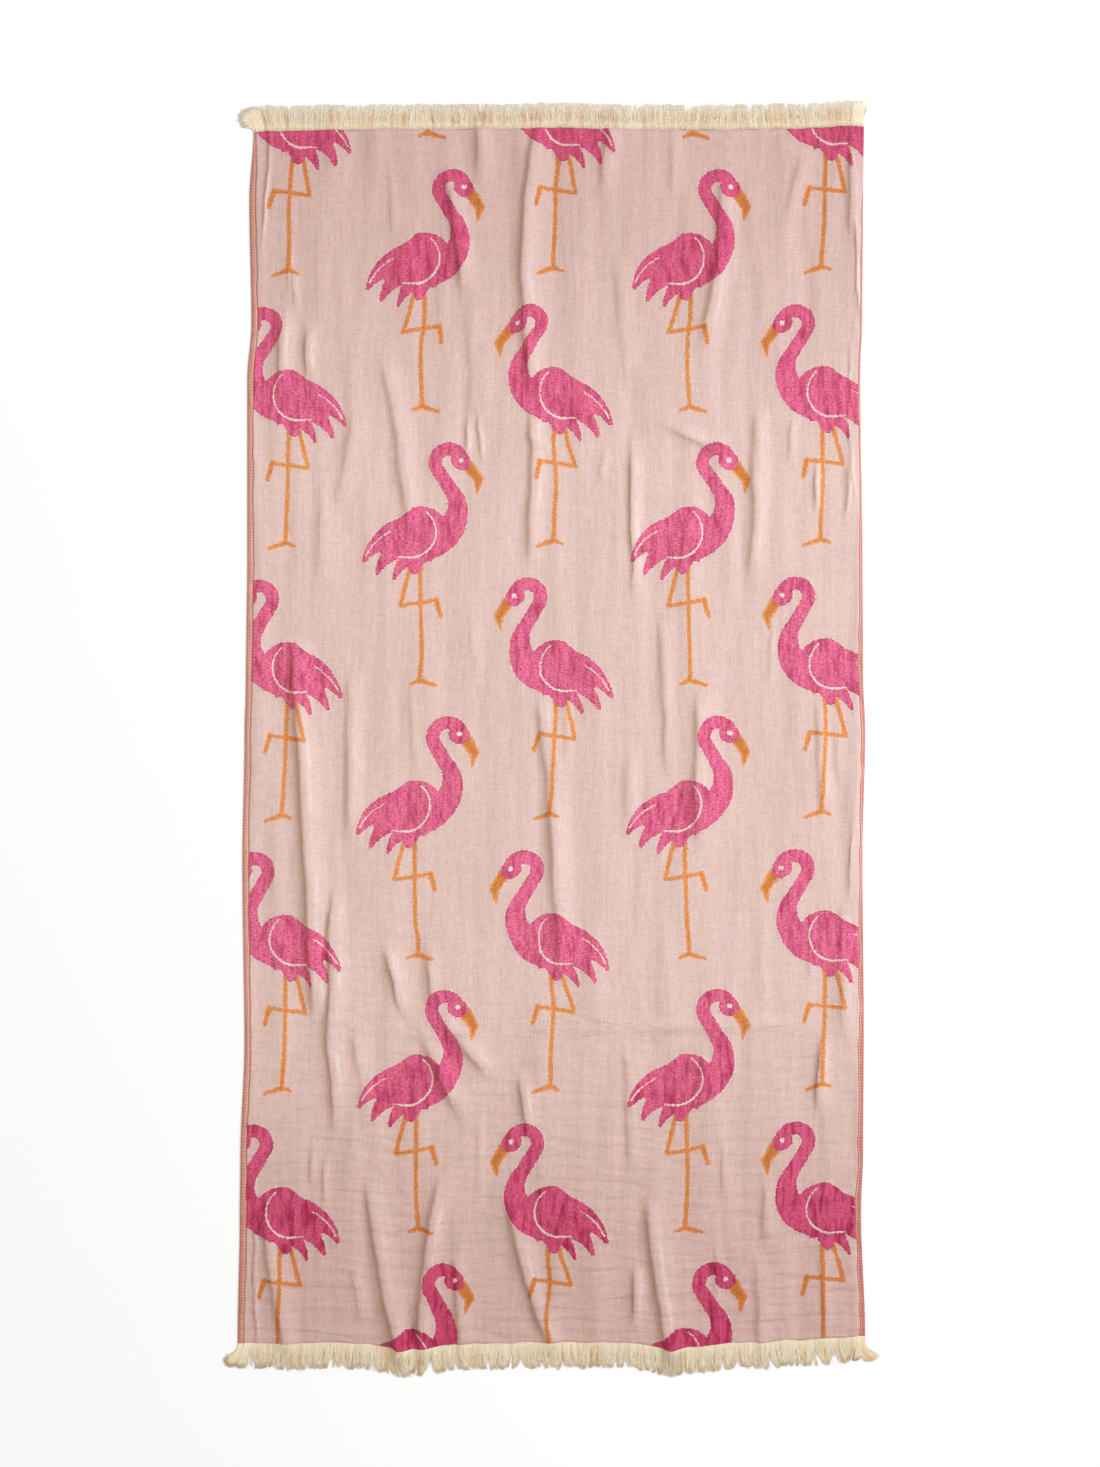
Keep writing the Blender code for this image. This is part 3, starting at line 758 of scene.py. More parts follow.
def fold_shape(fold, x, y):
    """How far a point is off a fold's line, negative on the steep side, and the fold's fade there."""
    length = math.hypot(fold.x1 - fold.x0, fold.y1 - fold.y0)
    run_x = (fold.x1 - fold.x0) / length
    run_y = (fold.y1 - fold.y0) / length
    along = (x - fold.x0) * run_x + (y - fold.y0) * run_y
    share = np.clip(along / length, 0, 1)
    off = (y - fold.y0) * run_x - (x - fold.x0) * run_y - fold.bow * 4 * share * (1 - share)
    fade = min(FADE_LENGTH, FADE_SHARE * length)
    inside = np.clip(np.minimum(along, length - along) / fade, 0, 1)
    return off, np.sin(inside * math.pi / 2) ** 2


def fold_height(fold, off, fade):
    """One fold's height. The shaded flank rises slowly, as a square, then quickly to the crest,
    as an S. The sunny flank falls away as a squared cosine."""
    share = np.clip(1 + off / (fold.width * STEEP_SHARE), 0, 1)
    quick = np.clip((share - CORE_START) / (1 - CORE_START), 0, 1)
    shaded = (1 - CORE_PART) * share ** 2 + CORE_PART * ramp(quick)
    sunny = np.cos(np.clip(off / (fold.width * LONG_SHARE), 0, 1) * math.pi / 2) ** 2
    return fold.rise * fade * np.where(off < 0, shaded, sunny)


def sway(cloth, x, y):
    """How far the folds wander sideways at a point: slow bends and small kinks."""
    return cloth.sway * waves(SWAY_WAVES, x, y)


def unevenness(x, y):
    """What heights are multiplied by at a point, so that folds swell and fade along their length."""
    return 1 + waves(SWELL_WAVES, x, y)


def folds_height(cloth, x, y):
    """Height of the folds, and of the finer creases. The higher of two crossing folds wins softly,
    and creases add up."""
    swayed = x + sway(cloth, x, y)
    uneven = unevenness(x, y)
    folds = sum(fold_height(fold, *fold_shape(fold, swayed, y)) ** RIDGE_BLEND for fold in FOLDS)
    creases = sum(fold_height(fold, *fold_shape(fold, swayed, y)) for fold in CREASES)
    return folds ** (1 / RIDGE_BLEND) * uneven, creases * uneven


def line_share(fold, off, line, narrower=1):
    """How near a point is to a line along a fold, from 1 on it to 0, as a bell curve."""
    width = max(line.width * fold.width / narrower, line.least)
    return np.exp(-(((off - line.place * fold.width) / width) ** 2))


def fold_lines(cloth, x, y):
    """How much of the painted highlight on a fold's sunny flank shows at a point, and of the line of
    painted shade in its tuck. Steep and pinched folds show them most, and the highlight is broken."""
    swayed = x + sway(cloth, x, y)
    swell = DARK_SWELL * unevenness(x, y) + 1 - DARK_SWELL
    broken = np.clip(BRIGHT_SHOWN + waves(BRIGHT_BREAKS, x, y), 0, 1)
    crest = np.zeros_like(x)
    tuck = np.zeros_like(x)
    for fold in FOLDS + CREASES:
        off, fade = fold_shape(fold, swayed, y)
        firm = fade * min(1, fold.rise / (FIRM_SLOPE * fold.width))
        pale = min(1, BRIGHT_BASE + BRIGHT_PER_PINCH * fold.pinch)
        # crest is a painted highlight on the sunny flank, and tuck a line of painted shade on the steep
        # flank.
        crest = np.maximum(crest, line_share(fold, off, PAINTED_HIGHLIGHT_LINE) * firm * broken * pale)
        dark = line_share(fold, off, PAINTED_SHADE_LINE, max(fold.pinch, 1))
        tuck = np.maximum(tuck, dark * firm * fold.pinch * swell)
    return crest, tuck


def crowding(cloth, x, y):
    """How closely the mesh's columns stand: drawn together round the quick rise of each fold."""
    swayed = x + sway(cloth, x, y)
    crowd = np.zeros_like(x)
    for fold in FOLDS + CREASES:
        off, fade = fold_shape(fold, swayed, y)
        quick = fold.width * STEEP_SHARE * (1 - CORE_START)
        reach = max(quick * CROWD_REACH, CROWD_LEAST_REACH)
        near = np.exp(-(((off + quick * CROWD_PLACE) / reach) ** 2))
        crowd += fade * min(1, fold.rise / CROWD_FULL_RISE) * near
    return 1 + CROWD_SHARE * np.minimum(crowd, CROWD_MOST)


def hem_width(y):
    """How wide the left and the right hem show at a height y, with a chance wave."""
    table_y = [row.y for row in HEMS]
    left = eased(y, table_y, [row.left for row in HEMS])
    right = eased(y, table_y, [row.right for row in HEMS])
    straight = np.zeros_like(y)
    return left + waves(LEFT_HEM_WAVES, straight, y), right * (1 + waves(RIGHT_HEM_WAVES, straight, y))


def hem_relief(inward, width):
    """Height across an edge of the cloth, by the distance inward from it: a flat hem with a rounded
    outer edge, a groove, and the face cloth's puffed edge that falls back to the sheet."""
    shown = np.clip(width / HEM_SHOWN, 0, 1)
    past = inward - width
    rounded = -EDGE_DROP * np.exp(-((inward / EDGE_ROUND) ** 2))
    groove = -GROOVE_DEPTH * np.exp(-((past / GROOVE_WIDTH) ** 2)) * shown
    puff = ramp(np.clip(past / PUFF_RAMP, 0, 1)) * np.exp(-np.maximum(past - PUFF_TOP, 0) / PUFF_REACH)
    return rounded + groove + PUFF_HEIGHT * puff * (PUFF_LEAST + (1 - PUFF_LEAST) * shown)


def edge_hang(past):
    """How far the face cloth's puffed edge hangs out over the groove, by the distance past the hem."""
    return HANG * np.exp(-(((past - HANG_PLACE) / HANG_WIDTH) ** 2))


def stroke_gap(stroke, x, y):
    """Distance to a tapered stroke: from the nearest place of its line, less its half width there."""
    run_x, run_y = stroke.x1 - stroke.x0, stroke.y1 - stroke.y0
    share = ((x - stroke.x0) * run_x + (y - stroke.y0) * run_y) / (run_x ** 2 + run_y ** 2)
    share = np.clip(share, 0, 1)
    away = np.hypot(x - stroke.x0 - run_x * share, y - stroke.y0 - run_y * share)
    return away - stroke.half0 - (stroke.half1 - stroke.half0) * share


def arc_gap(arc, x, y):
    """Distance to a tapered arc: from its circle, less its half width there, or past its ends."""
    middle = math.radians((arc.turn0 + arc.turn1) / 2)
    half_span = math.radians(arc.turn1 - arc.turn0) / 2
    ahead = (x - arc.x) * math.cos(middle) + (y - arc.y) * math.sin(middle)
    aside = (y - arc.y) * math.cos(middle) - (x - arc.x) * math.sin(middle)
    turn = np.arctan2(aside, ahead)
    share = np.clip(turn / (2 * half_span) + 0.5, 0, 1)
    off = np.abs(np.hypot(ahead, aside) - arc.radius)
    off -= arc.half0 + (arc.half1 - arc.half0) * share
    return np.maximum(off, (np.abs(turn) - half_span) * arc.radius)


def figure_share(cloth, repeat, u, v):
    """1 inside the birds' plumage and 0 outside, softened over some millimetres. u and v are the
    place on the flat cloth, from 0 to 1. Every other column of birds is dropped by half a row and
    faces the other way."""
    x = u * cloth.flat_width / MM - repeat.first_x + repeat.column_pitch / 2
    y = v * cloth.flat_length / MM - repeat.first_y
    column = np.floor(x / repeat.column_pitch)
    odd = column % 2
    local_x = (x - (column + 0.5) * repeat.column_pitch) * (1 - 2 * odd)
    dropped = y + (0.5 + 0.5 * odd) * repeat.row_pitch
    local_y = dropped - (np.floor(dropped / repeat.row_pitch) + 0.5) * repeat.row_pitch
    gaps = [(arc_gap if isinstance(part, Arc) else stroke_gap)(part, local_x, local_y) for part in PLUMAGE]
    return np.clip(0.5 - np.min(gaps, axis=0) / FIGURE_SOFTNESS, 0, 1)


def column_places(cloth, along):
    """Where the mesh's columns cross each row: the crowding is added up across the row and
    shared out evenly. Columns are drawn together beside the hems too."""
    fine = np.linspace(0, 1, COLUMN_SAMPLES)
    x, y = spread(cloth, *np.meshgrid(fine, along))
    crowd = crowding(cloth, x, y)
    left, right = hem_width(y[:, 0])
    past_left = (x - x[:, :1]) - left[:, None]
    past_right = (x[:, -1:] - x) - right[:, None]
    for past in (past_left, past_right):
        crowd += HEM_CROWD * np.exp(-((past / HEM_CROWD_REACH) ** 2))
    steps = (crowd[:, 1:] + crowd[:, :-1]) / 2
    total = np.concatenate([np.zeros((len(along), 1)), np.cumsum(steps, 1)], 1)
    total /= total[:, -1:]
    even = np.linspace(0, 1, cloth.columns + 1)
    return np.stack([np.interp(even, row, fine) for row in total])


def row_places(cloth):
    """Where the rows lie along the cloth: closer at the wrinkled lower end and on slanting folds."""
    fine = np.linspace(0, 1, ROW_SAMPLES)
    y = (fine - 0.5) * cloth.length
    close = LOW_END_ROWS * np.clip(1 - (y + cloth.length / 2) / LOW_END_REACH, 0, 1)
    for place in CLOSE_ROWS:
        close += place.extra * np.exp(-(((y - place.y) / place.reach) ** 2))
    total = np.concatenate([[0], np.cumsum(1 + (close[1:] + close[:-1]) / 2)])
    return np.interp(np.linspace(0, 1, cloth.rows + 1), total / total[-1], fine)


def soft_bands(cloth, x, y):
    """Height of the soft bands along the cloth and of the broadest waves, which never dip."""
    broad = 0.5 + 0.5 * waves(BROAD_WAVES, x, y)
    return cloth.band_rise * waves(BAND_WAVES, x, y) + cloth.wave_rise * broad


def small_wrinkles(cloth, x, y, figure):
    """Height of the puckers along the cloth, deeper in the woven figures, and of the wrinkles
    across it, deeper towards the lower end."""
    puckers = cloth.pucker_rise * waves(PUCKER_WAVES, x, y)
    puckers += figure * cloth.figure_pucker_rise * waves(FIGURE_WAVES, x, y)
    low_end = np.clip(1 - (y - y.min()) / CROSS_REACH, 0, 1)
    wrinkles = low_end * waves(CROSS_WAVES, x, y) + waves(FAINT_CROSS_WAVES, x, y)
    return puckers + cloth.cross_rise * wrinkles


def flat_places(x, height):
    """Where each point lies across the flat cloth, from 0 to 1: the length along the laid cloth."""
    run = np.hypot(np.diff(x, axis=1), np.diff(height, axis=1))
    total = np.concatenate([np.zeros((len(x), 1)), np.cumsum(run, 1)], 1)
    return total / total[:, -1:]


def lay_cloth(cloth, repeat):
    """The laid cloth: each point of the face and of the underside, the face's places on the flat
    cloth, how far each is past the hem, and what shows there of the folds' painted highlights and
    painted shade lines."""
    along_rows = row_places(cloth)
    across = column_places(cloth, along_rows)
    along = np.repeat(along_rows[:, None], across.shape[1], 1)
    x, y = spread(cloth, across, along)
    folds, creases = folds_height(cloth, x, y)
    left, right = hem_width(y[:, 0])
    from_left, from_right = x - x[:, :1], x[:, -1:] - x
    past_left, past_right = from_left - left[:, None], from_right - right[:, None]
    hem = np.minimum(past_left, past_right)

    bands = soft_bands(cloth, x, y)
    laid_x = x - cloth.lean * (folds + creases)
    flat_x = flat_places(laid_x, folds + creases + bands)
    wrinkles = small_wrinkles(cloth, x, y, figure_share(cloth, repeat, flat_x, along))
    sides = hem_relief(from_left, left[:, None]) + hem_relief(from_right, right[:, None])
    inside = np.clip(hem / HEM_CALM, 0, 1)
    relief = np.maximum((bands + wrinkles) * inside + sides, -DEEPEST)
    top = folds + creases * inside + relief + cloth.thickness

    crest, tuck = fold_lines(cloth, x, y)
    for end, row in ((1, -1), (-1, 0)):
        near_end = np.exp(-np.abs(y - y[row]) / END_WAVE_REACH)
        y = y + end * end_wave(x[row], folds[row], end) * near_end
    face = np.stack([laid_x - edge_hang(past_left) + edge_hang(past_right), y, top], -1)
    under = np.stack([laid_x, y, underside(top, cloth.thickness)], -1)[::2, ::2]
    return Laid(face, under, np.stack([flat_x, along], -1), hem, crest, tuck)


def underside(top, thickness):
    """Height of the underside: a thickness below the lowest of the nine points round each one, so
    that its coarser faces stay under the face cloth, and never below the floor."""
    padded = np.pad(top, 1, mode="edge")
    rows, columns = top.shape
    near = [padded[row:row + rows, column:column + columns] for row in range(3) for column in range(3)]
    return np.maximum(np.min(near, axis=0) - thickness, 0)


def rim_faces(cloth):
    """Closes the sheet's edge all round: each face has two edges of the top grid and one of the
    coarser grid below it. Corners run so that the faces look outwards."""
    columns, rows = cloth.columns, cloth.rows
    under_first = (rows + 1) * (columns + 1)
    under_columns = columns // 2

    def top(row, column):
        return row * (columns + 1) + column

    def below(row, column):
        return under_first + (row // 2) * (under_columns + 1) + column // 2

    across = np.arange(0, columns, 2)
    along = np.arange(0, rows, 2)
    low = [below(0, across), below(0, across + 2), top(0, across + 2), top(0, across + 1), top(0, across)]
    high = [below(rows, across + 2), below(rows, across), top(rows, across), top(rows, across + 1),
            top(rows, across + 2)]
    left = [below(along + 2, 0), below(along, 0), top(along, 0), top(along + 1, 0), top(along + 2, 0)]
    right = [below(along, columns), below(along + 2, columns), top(along + 2, columns),
             top(along + 1, columns), top(along, columns)]
    return np.concatenate([np.stack(side, -1) for side in (low, high, left, right)])


def with_underside(values):
    """Values of the face's points, and after them those of every other one, for the underside."""
    parts = [part.reshape(-1, *values.shape[2:]) for part in (values, values[::2, ::2])]
    return np.concatenate(parts)


def cloth_bake_map(flat, loops, face_corners, back_corners):
    """The bake map: the face with the rim takes its left part and the back stands beside it."""
    places = flat[loops] * (FACE_MAP_WIDTH, 1.0)
    back = slice(face_corners, face_corners + back_corners)
    places[back] = flat[loops[back]] * (BACK_MAP_WIDTH, 1.0) + (BACK_MAP_START, 0.0)
    return places


def build_cloth(cloth, repeat):
    """The towel's cloth as one closed sheet, with its flat map, its bake map, the distance past the
    hem in millimetres, and what shows of the folds' painted highlights and painted shade lines."""
    laid = lay_cloth(cloth, repeat)
    rows, columns = cloth.rows, cloth.columns
    points = np.concatenate([laid.face.reshape(-1, 3), laid.under.reshape(-1, 3)])
    top_quads = grid_faces(rows, columns, 0)
    under_quads = grid_faces(rows // 2, columns // 2, (rows + 1) * (columns + 1))[:, ::-1]
    rim = rim_faces(cloth)
    loops = np.concatenate([top_quads.ravel(), under_quads.ravel(), rim.ravel()])
    counts = np.concatenate([np.full(len(top_quads) + len(under_quads), 4), np.full(len(rim), 5)])
    slots = np.concatenate([np.zeros(len(top_quads)), np.ones(len(under_quads)), np.zeros(len(rim))])
    materials = [face_material(cloth, repeat), back_material(cloth)]
    towel = make_piece("towel_gauze", points, loops, counts, materials, slots)
    mesh = towel.data
    flat = with_underside(laid.flat)
    add_map(mesh, "flat", flat[loops])
    add_map(mesh, "OFBake", cloth_bake_map(flat, loops, top_quads.size, under_quads.size))
    mesh.uv_layers["flat"].active_render = True
    mesh.uv_layers.active = mesh.uv_layers["flat"]
    add_attribute(mesh, "hem", with_underside(laid.hem) / MM)
    # crest and tuck carry the folds' painted highlight and painted shade line.
    add_attribute(mesh, "crest", with_underside(laid.crest))
    add_attribute(mesh, "tuck", with_underside(laid.tuck))
    return towel


# ======================================================================== the fringes

# Arrays along a cloth end, and arrays with a value for each yarn of a fringe.
End = namedtuple("End", "x y height")
Bunch = namedtuple("Bunch", "number middle aside")


def cloth_end(cloth, repeat, fringe):
    """The laid cloth's end from left to right: places, and heights a thickness below its face, none
    of them under the floor."""
    x, y, top = lay_cloth(cloth, repeat).face[-1 if fringe.end > 0 else 0].T
    return End(x, y, np.maximum(top - cloth.thickness, 0))


def bunches(cloth, low, high, across, rng):
    """Parts the width into bunches from low to high wide. Gives each yarn's bunch, the bunch's
    middle and the yarn's place in it from -1 to 1."""
    borders = np.concatenate([[0], np.cumsum(rng.uniform(low, high, MOST_BUNCHES)) / cloth.width])
    borders = borders[borders < 1 + high / cloth.width]
    number = np.searchsorted(borders, across, side="right") - 1
    middle = (borders[number] + borders[number + 1]) / 2
    half = (borders[number + 1] - borders[number]) / 2
    return Bunch(number, middle, (across - middle) / half)


def by_bunch(bunch, values):
    """Gives each yarn its own bunch's value."""
    return values[bunch.number]


def yarn_roots(settings, rng):
    """Where the yarns leave the cloth's end, as shares of its width: evenly with chance steps, and
    at both corners some more, crowding towards the edge."""
    extra = rng.uniform(0, 1, (2, settings.corner_yarns)) ** 1.5 * CORNER_CROWD
    even = settings.yarns - extra.size
    span = 1 - 2 * ROOT_MARGIN
    across = ROOT_MARGIN + span * (np.arange(even) + rng.uniform(0, 1, even)) / even
    return np.concatenate([ROOT_MARGIN + extra[0], across, 1 - ROOT_MARGIN - extra[1]])


def yarn_leans(fringe, root_x, tuft, lock, rng):
    """How far each yarn's tip leans sideways, and how far its middle curls."""
    tufts, locks = tuft.number.max() + 1, lock.number.max() + 1
    straight = np.zeros_like(root_x)
    lean = fringe.sway * waves(LEAN_WAVES, root_x, straight, fringe.seed)
    lean += fringe.tuft_lean * by_bunch(tuft, rng.normal(0, 1, tufts))
    lean += fringe.lock_lean * by_bunch(lock, rng.normal(0, 1, locks))
    lean += fringe.stray * rng.normal(0, 1, len(root_x))
    curl = fringe.lock_lean * by_bunch(lock, rng.normal(0, 1, locks))
    curl += waves(CURL_WAVES, root_x, straight, fringe.seed)
    return lean, curl


def yarn_lengths(fringe, tuft, lock, rng):
    """Each yarn's length: less towards the sides of its tuft and its lock, uneven from lock to lock
    and from tuft to tuft, and short in single yarns."""
    tufts, locks = tuft.number.max() + 1, lock.number.max() + 1
    length = fringe.length * (1 - fringe.point * tuft.aside ** 2) * (1 - fringe.point * lock.aside ** 2)
    length *= 1 - fringe.uneven * by_bunch(lock, rng.uniform(0, 2, locks))
    length *= 1 - fringe.uneven * by_bunch(tuft, rng.uniform(-1, 1, tufts))
    return length * (1 - fringe.short * rng.uniform(0, 1, len(length)) ** 2)


def corner_pulls(fringe, root_x, layer):
    """How firmly the left and the right corner bend each yarn: less with the distance from the
    corner, and more in the upper yarns."""
    firm = PULL_BASE + PULL_PER_LAYER * layer
    left = firm * np.exp(-(root_x - root_x.min()) / fringe.corner_left)
    right = firm * np.exp(-(root_x.max() - root_x) / fringe.corner_right)
    return left, right


def yarn_paths(cloth, settings, fringe, end):
    """Each yarn's middle line, half width and shade, and the share of its length at each ring.

    A yarn leaves the cloth's end straight, draws towards the middles of its tuft and of its lock,
    leans with both, and comes down from the cloth's edge to lie on the floor. At the corners the
    yarns bend outwards along circles, and the most bent ones are shorter."""
    rng = np.random.default_rng(fringe.seed)
    across = yarn_roots(settings, rng)
    tuft = bunches(cloth, fringe.tuft_low, fringe.tuft_high, across, rng)
    lock = bunches(cloth, fringe.lock_low, fringe.lock_high, across, rng)
    root_x = end.x[0] + (end.x[-1] - end.x[0]) * across
    root_y = np.interp(root_x, end.x, end.y)
    lift = np.interp(root_x, end.x, end.height)
    layer = rng.uniform(0, 1, len(across))
    lean, curl = yarn_leans(fringe, root_x, tuft, lock, rng)
    length = yarn_lengths(fringe, tuft, lock, rng)
    left, right = corner_pulls(fringe, root_x, layer)
    length *= 1 - (fringe.curl_left * left * (left - FREE_PULL)
                   + fringe.curl_right * right * (right - FREE_PULL))

    t = np.linspace(0, 1, settings.rings)[:, None]
    free = np.clip((t - fringe.solid) / (1 - fringe.solid), 0, 1)
    bend = (math.radians(fringe.turn_right) * right - math.radians(fringe.turn_left) * left) * t
    x = root_x + length * t * (bend / 2) * np.sinc(bend / (2 * math.pi)) ** 2
    y = root_y + fringe.end * (length * t * np.sinc(bend / math.pi) - ROOT_INSET)
    x = x - fringe.tuft_gather * (across - tuft.middle) * cloth.width * free ** 2.2
    x = x - fringe.lock_gather * (across - lock.middle) * cloth.width * free ** 2.0
    x = x + lean * free ** 1.6 + curl * np.sin(free * math.pi * 1.4) * free
    layer_height = cloth.thickness * (LAYER_LOW + (1 - LAYER_LOW) * layer)
    height = lift * (1 - t) ** 2.6 + layer_height * (1 - 0.60 * t)
    crown = np.clip(1 - lock.aside ** 2, 0, 1) * np.sin(free ** 0.7 * math.pi)
    z = height + LOCK_CROWN * crown * (0.3 + fringe.lock_gather) + FLOOR_CLEARANCE
    half_width = settings.thickness * rng.uniform(0.75, 1.25, len(across)) / 2 * (1 - 0.25 * t ** 2)

    # Lower-lying yarns are painted more golden, as warm shade between yarns.
    shade = fringe.deep + YARN_SHADE * rng.uniform(0, 1, len(across)) + DEEP_LAYER_PAINTED_SHADE * (1 - layer)
    shade += LOCK_SHADE * by_bunch(lock, rng.uniform(0, 1, lock.number.max() + 1))
    shade += BASE_SHADE + waves(SHADE_WAVES, root_x, np.zeros_like(root_x), fringe.seed)
    return np.stack([x, y, z], -1), half_width, shade, np.broadcast_to(t, x.shape)


def yarn_points(paths, half_width):
    """Three-sided tubes: at each ring the corners stand at 90, 210 and 330 degrees round the path,
    in the plane of its level side vector and its upward one, and are pressed to half the height."""
    run = np.gradient(paths, axis=0)
    run /= np.linalg.norm(run, axis=-1, keepdims=True)
    side = np.stack([run[..., 1], -run[..., 0], np.zeros_like(run[..., 0])], -1)
    side /= np.linalg.norm(side, axis=-1, keepdims=True)
    up = np.cross(side, run) * 0.5
    turns = np.radians([90, 210, 330])
    corners = side[..., None, :] * np.cos(turns)[:, None] + up[..., None, :] * np.sin(turns)[:, None]
    return paths[..., None, :] + corners * half_width[..., None, None]


def strip_points(cloth, settings, fringe, end):
    """The woven strip at the roots: a thin band of four points across at each station. It thins
    out to an uneven outer edge, so that the yarns come out of it here and there."""
    x = np.linspace(end.x[0], end.x[-1], settings.strip_cells + 1)
    y, lift = np.interp(x, end.x, end.y), np.interp(x, end.x, end.height)
    edge = y - fringe.end * ROOT_INSET
    out = y + fringe.end * settings.strip * (1 + waves(STRIP_WAVES, x, np.zeros_like(x), fringe.seed))
    inner_low, inner_high = lift * 0.97 + FLOOR_CLEARANCE, lift + cloth.thickness * 0.60
    outer_low, outer_high = lift * 0.46 + FLOOR_CLEARANCE, lift * 0.50 + cloth.thickness * 0.35
    rows = [(x, edge, inner_low), (x, edge, inner_high), (x, out, outer_high), (x, out, outer_low)]
    return np.stack([np.stack(row, -1) for row in rows], 1)


def fringe_map(count, rings, cells):
    """The bake map of a fringe, a place for each face corner in build_fringe's order: yarns side by
    side with their length upwards, caps as slivers at their ends, and the strip above them all."""
    yarn = np.arange(count)[:, None, None]
    ring, side = np.meshgrid(np.arange(rings - 1), np.arange(3), indexing="ij")
    near, far = np.broadcast_arrays((yarn + side / 3) / count, (yarn + (side + 1) / 3) / count)
    low = np.broadcast_to(YARN_MAP_FOOT + YARN_MAP_LENGTH * ring / (rings - 1), near.shape)
    high = np.broadcast_to(YARN_MAP_FOOT + YARN_MAP_LENGTH * (ring + 1) / (rings - 1), near.shape)
    sides = np.stack([near, low, near, high, far, high, far, low], -1).reshape(-1, 2)
    cap = np.array([[0.1, 0.0], [0.9, 0.0], [0.5, MAP_SLIVER]])
    root = (yarn * (1, 0) + cap).reshape(-1, 2) / (count, 1)
    station, edge = np.meshgrid(np.arange(cells), np.arange(4), indexing="ij")
    left, right = station / cells, (station + 1) / cells
    foot, head = STRIP_MAP_FOOT + MAP_SLIVER * edge, STRIP_MAP_FOOT + MAP_SLIVER * (edge + 1)
    band = np.stack([left, foot, left, head, right, head, right, foot], -1).reshape(-1, 2)
    ends = np.array([[0.0, 0.0], [0.1, 0.0], [0.1, 0.01], [0.0, 0.01]]) + (0, END_MAP_FOOT)
    return np.concatenate([sides, root, root + (0, TIP_MAP_FOOT), band, ends, ends + (0.5, 0)])


def build_fringe(cloth, repeat, settings, fringe):
    """One fringe as a joined mesh: every yarn is a closed three-sided tube, on a narrow strip."""
    count, rings, cells = settings.yarns, settings.rings, settings.strip_cells
    end = cloth_end(cloth, repeat, fringe)
    paths, half_width, shade, reach = yarn_paths(cloth, settings, fringe, end)
    points = yarn_points(paths, half_width).transpose(1, 0, 2, 3)
    first = np.arange(count)[:, None, None] * rings * 3
    ring, side = np.meshgrid(np.arange(rings - 1), np.arange(3), indexing="ij")
    here, after = ring * 3 + side, ring * 3 + (side + 1) % 3
    quads = (first[..., None] + np.stack([here, here + 3, after + 3, after], -1)).reshape(-1, 4)
    root_cap = first[:, 0] + np.array([0, 1, 2])
    tip_cap = first[:, 0] + (rings - 1) * 3 + np.array([2, 1, 0])

    strip = strip_points(cloth, settings, fringe, end)
    strip_first = points.size // 3
    station, edge = np.meshgrid(np.arange(cells), np.arange(4), indexing="ij")
    near, far = station * 4 + edge, station * 4 + (edge + 1) % 4
    band = strip_first + np.stack([near, far, far + 4, near + 4], -1).reshape(-1, 4)
    caps = strip_first + np.array([np.arange(4)[::-1], cells * 4 + np.arange(4)])
    if fringe.end > 0:
        band, caps = band[:, ::-1], caps[:, ::-1]
    loops = np.concatenate([part.ravel() for part in (quads, root_cap, tip_cap, band, caps)])
    counts = np.concatenate([np.full(len(quads), 4), np.full(2 * count, 3), np.full(len(band) + 2, 4)])
    all_points = np.concatenate([points.reshape(-1, 3), strip.reshape(-1, 3)])
    made = make_piece(fringe.name, all_points, loops, counts, [yarn_material(settings)],
                      np.zeros(len(counts)))
    add_map(made.data, "OFBake", fringe_map(count, rings, cells))

    strip_rng = np.random.default_rng(fringe.seed + STRIP_SEED)
    strip_shade = STRIP_SHADE + STRIP_SHADE_SPREAD * strip_rng.uniform(-1, 1, cells + 1)
    shade_points = np.concatenate([np.repeat(shade, rings * 3), np.repeat(strip_shade, 4)])
    add_attribute(made.data, "shade", shade_points)
    yarn_reach = np.repeat(reach.T[..., None], 3, -1).ravel()
    reach_points = np.concatenate([yarn_reach, np.zeros(strip.size // 3)])
    add_attribute(made.data, "reach", reach_points)
    add_attribute(made.data, "tip", reach_points * fringe.tip)
    return made


# ======================================================================== materials


def add_node(tree, kind, settings, inputs):
    """Adds one node with its settings. An input takes a value, or another node's first live output
    or one of its sockets by link."""
    made = tree.nodes.new(kind)
    for name, value in settings.items():
        setattr(made, name, value)
    for place, value in inputs.items():
        if isinstance(value, bpy.types.Node):
            value = next(socket for socket in value.outputs if socket.enabled)
        if isinstance(value, bpy.types.NodeSocket):
            tree.links.new(value, made.inputs[place])
        else:
            made.inputs[place].default_value = value
    return made


MATH, VECTOR, MIX, NOISE = "ShaderNodeMath", "ShaderNodeVectorMath", "ShaderNodeMix", "ShaderNodeTexNoise"
RANGE = "ShaderNodeMapRange"
COLOURS = {"data_type": "RGBA"}


def new_material(name, roughness, sheen):
    """An empty cotton material with its shader's constant sockets set."""
    material = bpy.data.materials.new(name)
    material.use_nodes = True
    shader = material.node_tree.nodes["Principled BSDF"]
    shader.inputs["Roughness"].default_value = roughness
    shader.inputs["Specular IOR Level"].default_value = 0.25
    shader.inputs["Sheen Weight"].default_value = sheen
    shader.inputs["Sheen Roughness"].default_value = 0.55
    return material, material.node_tree, shader


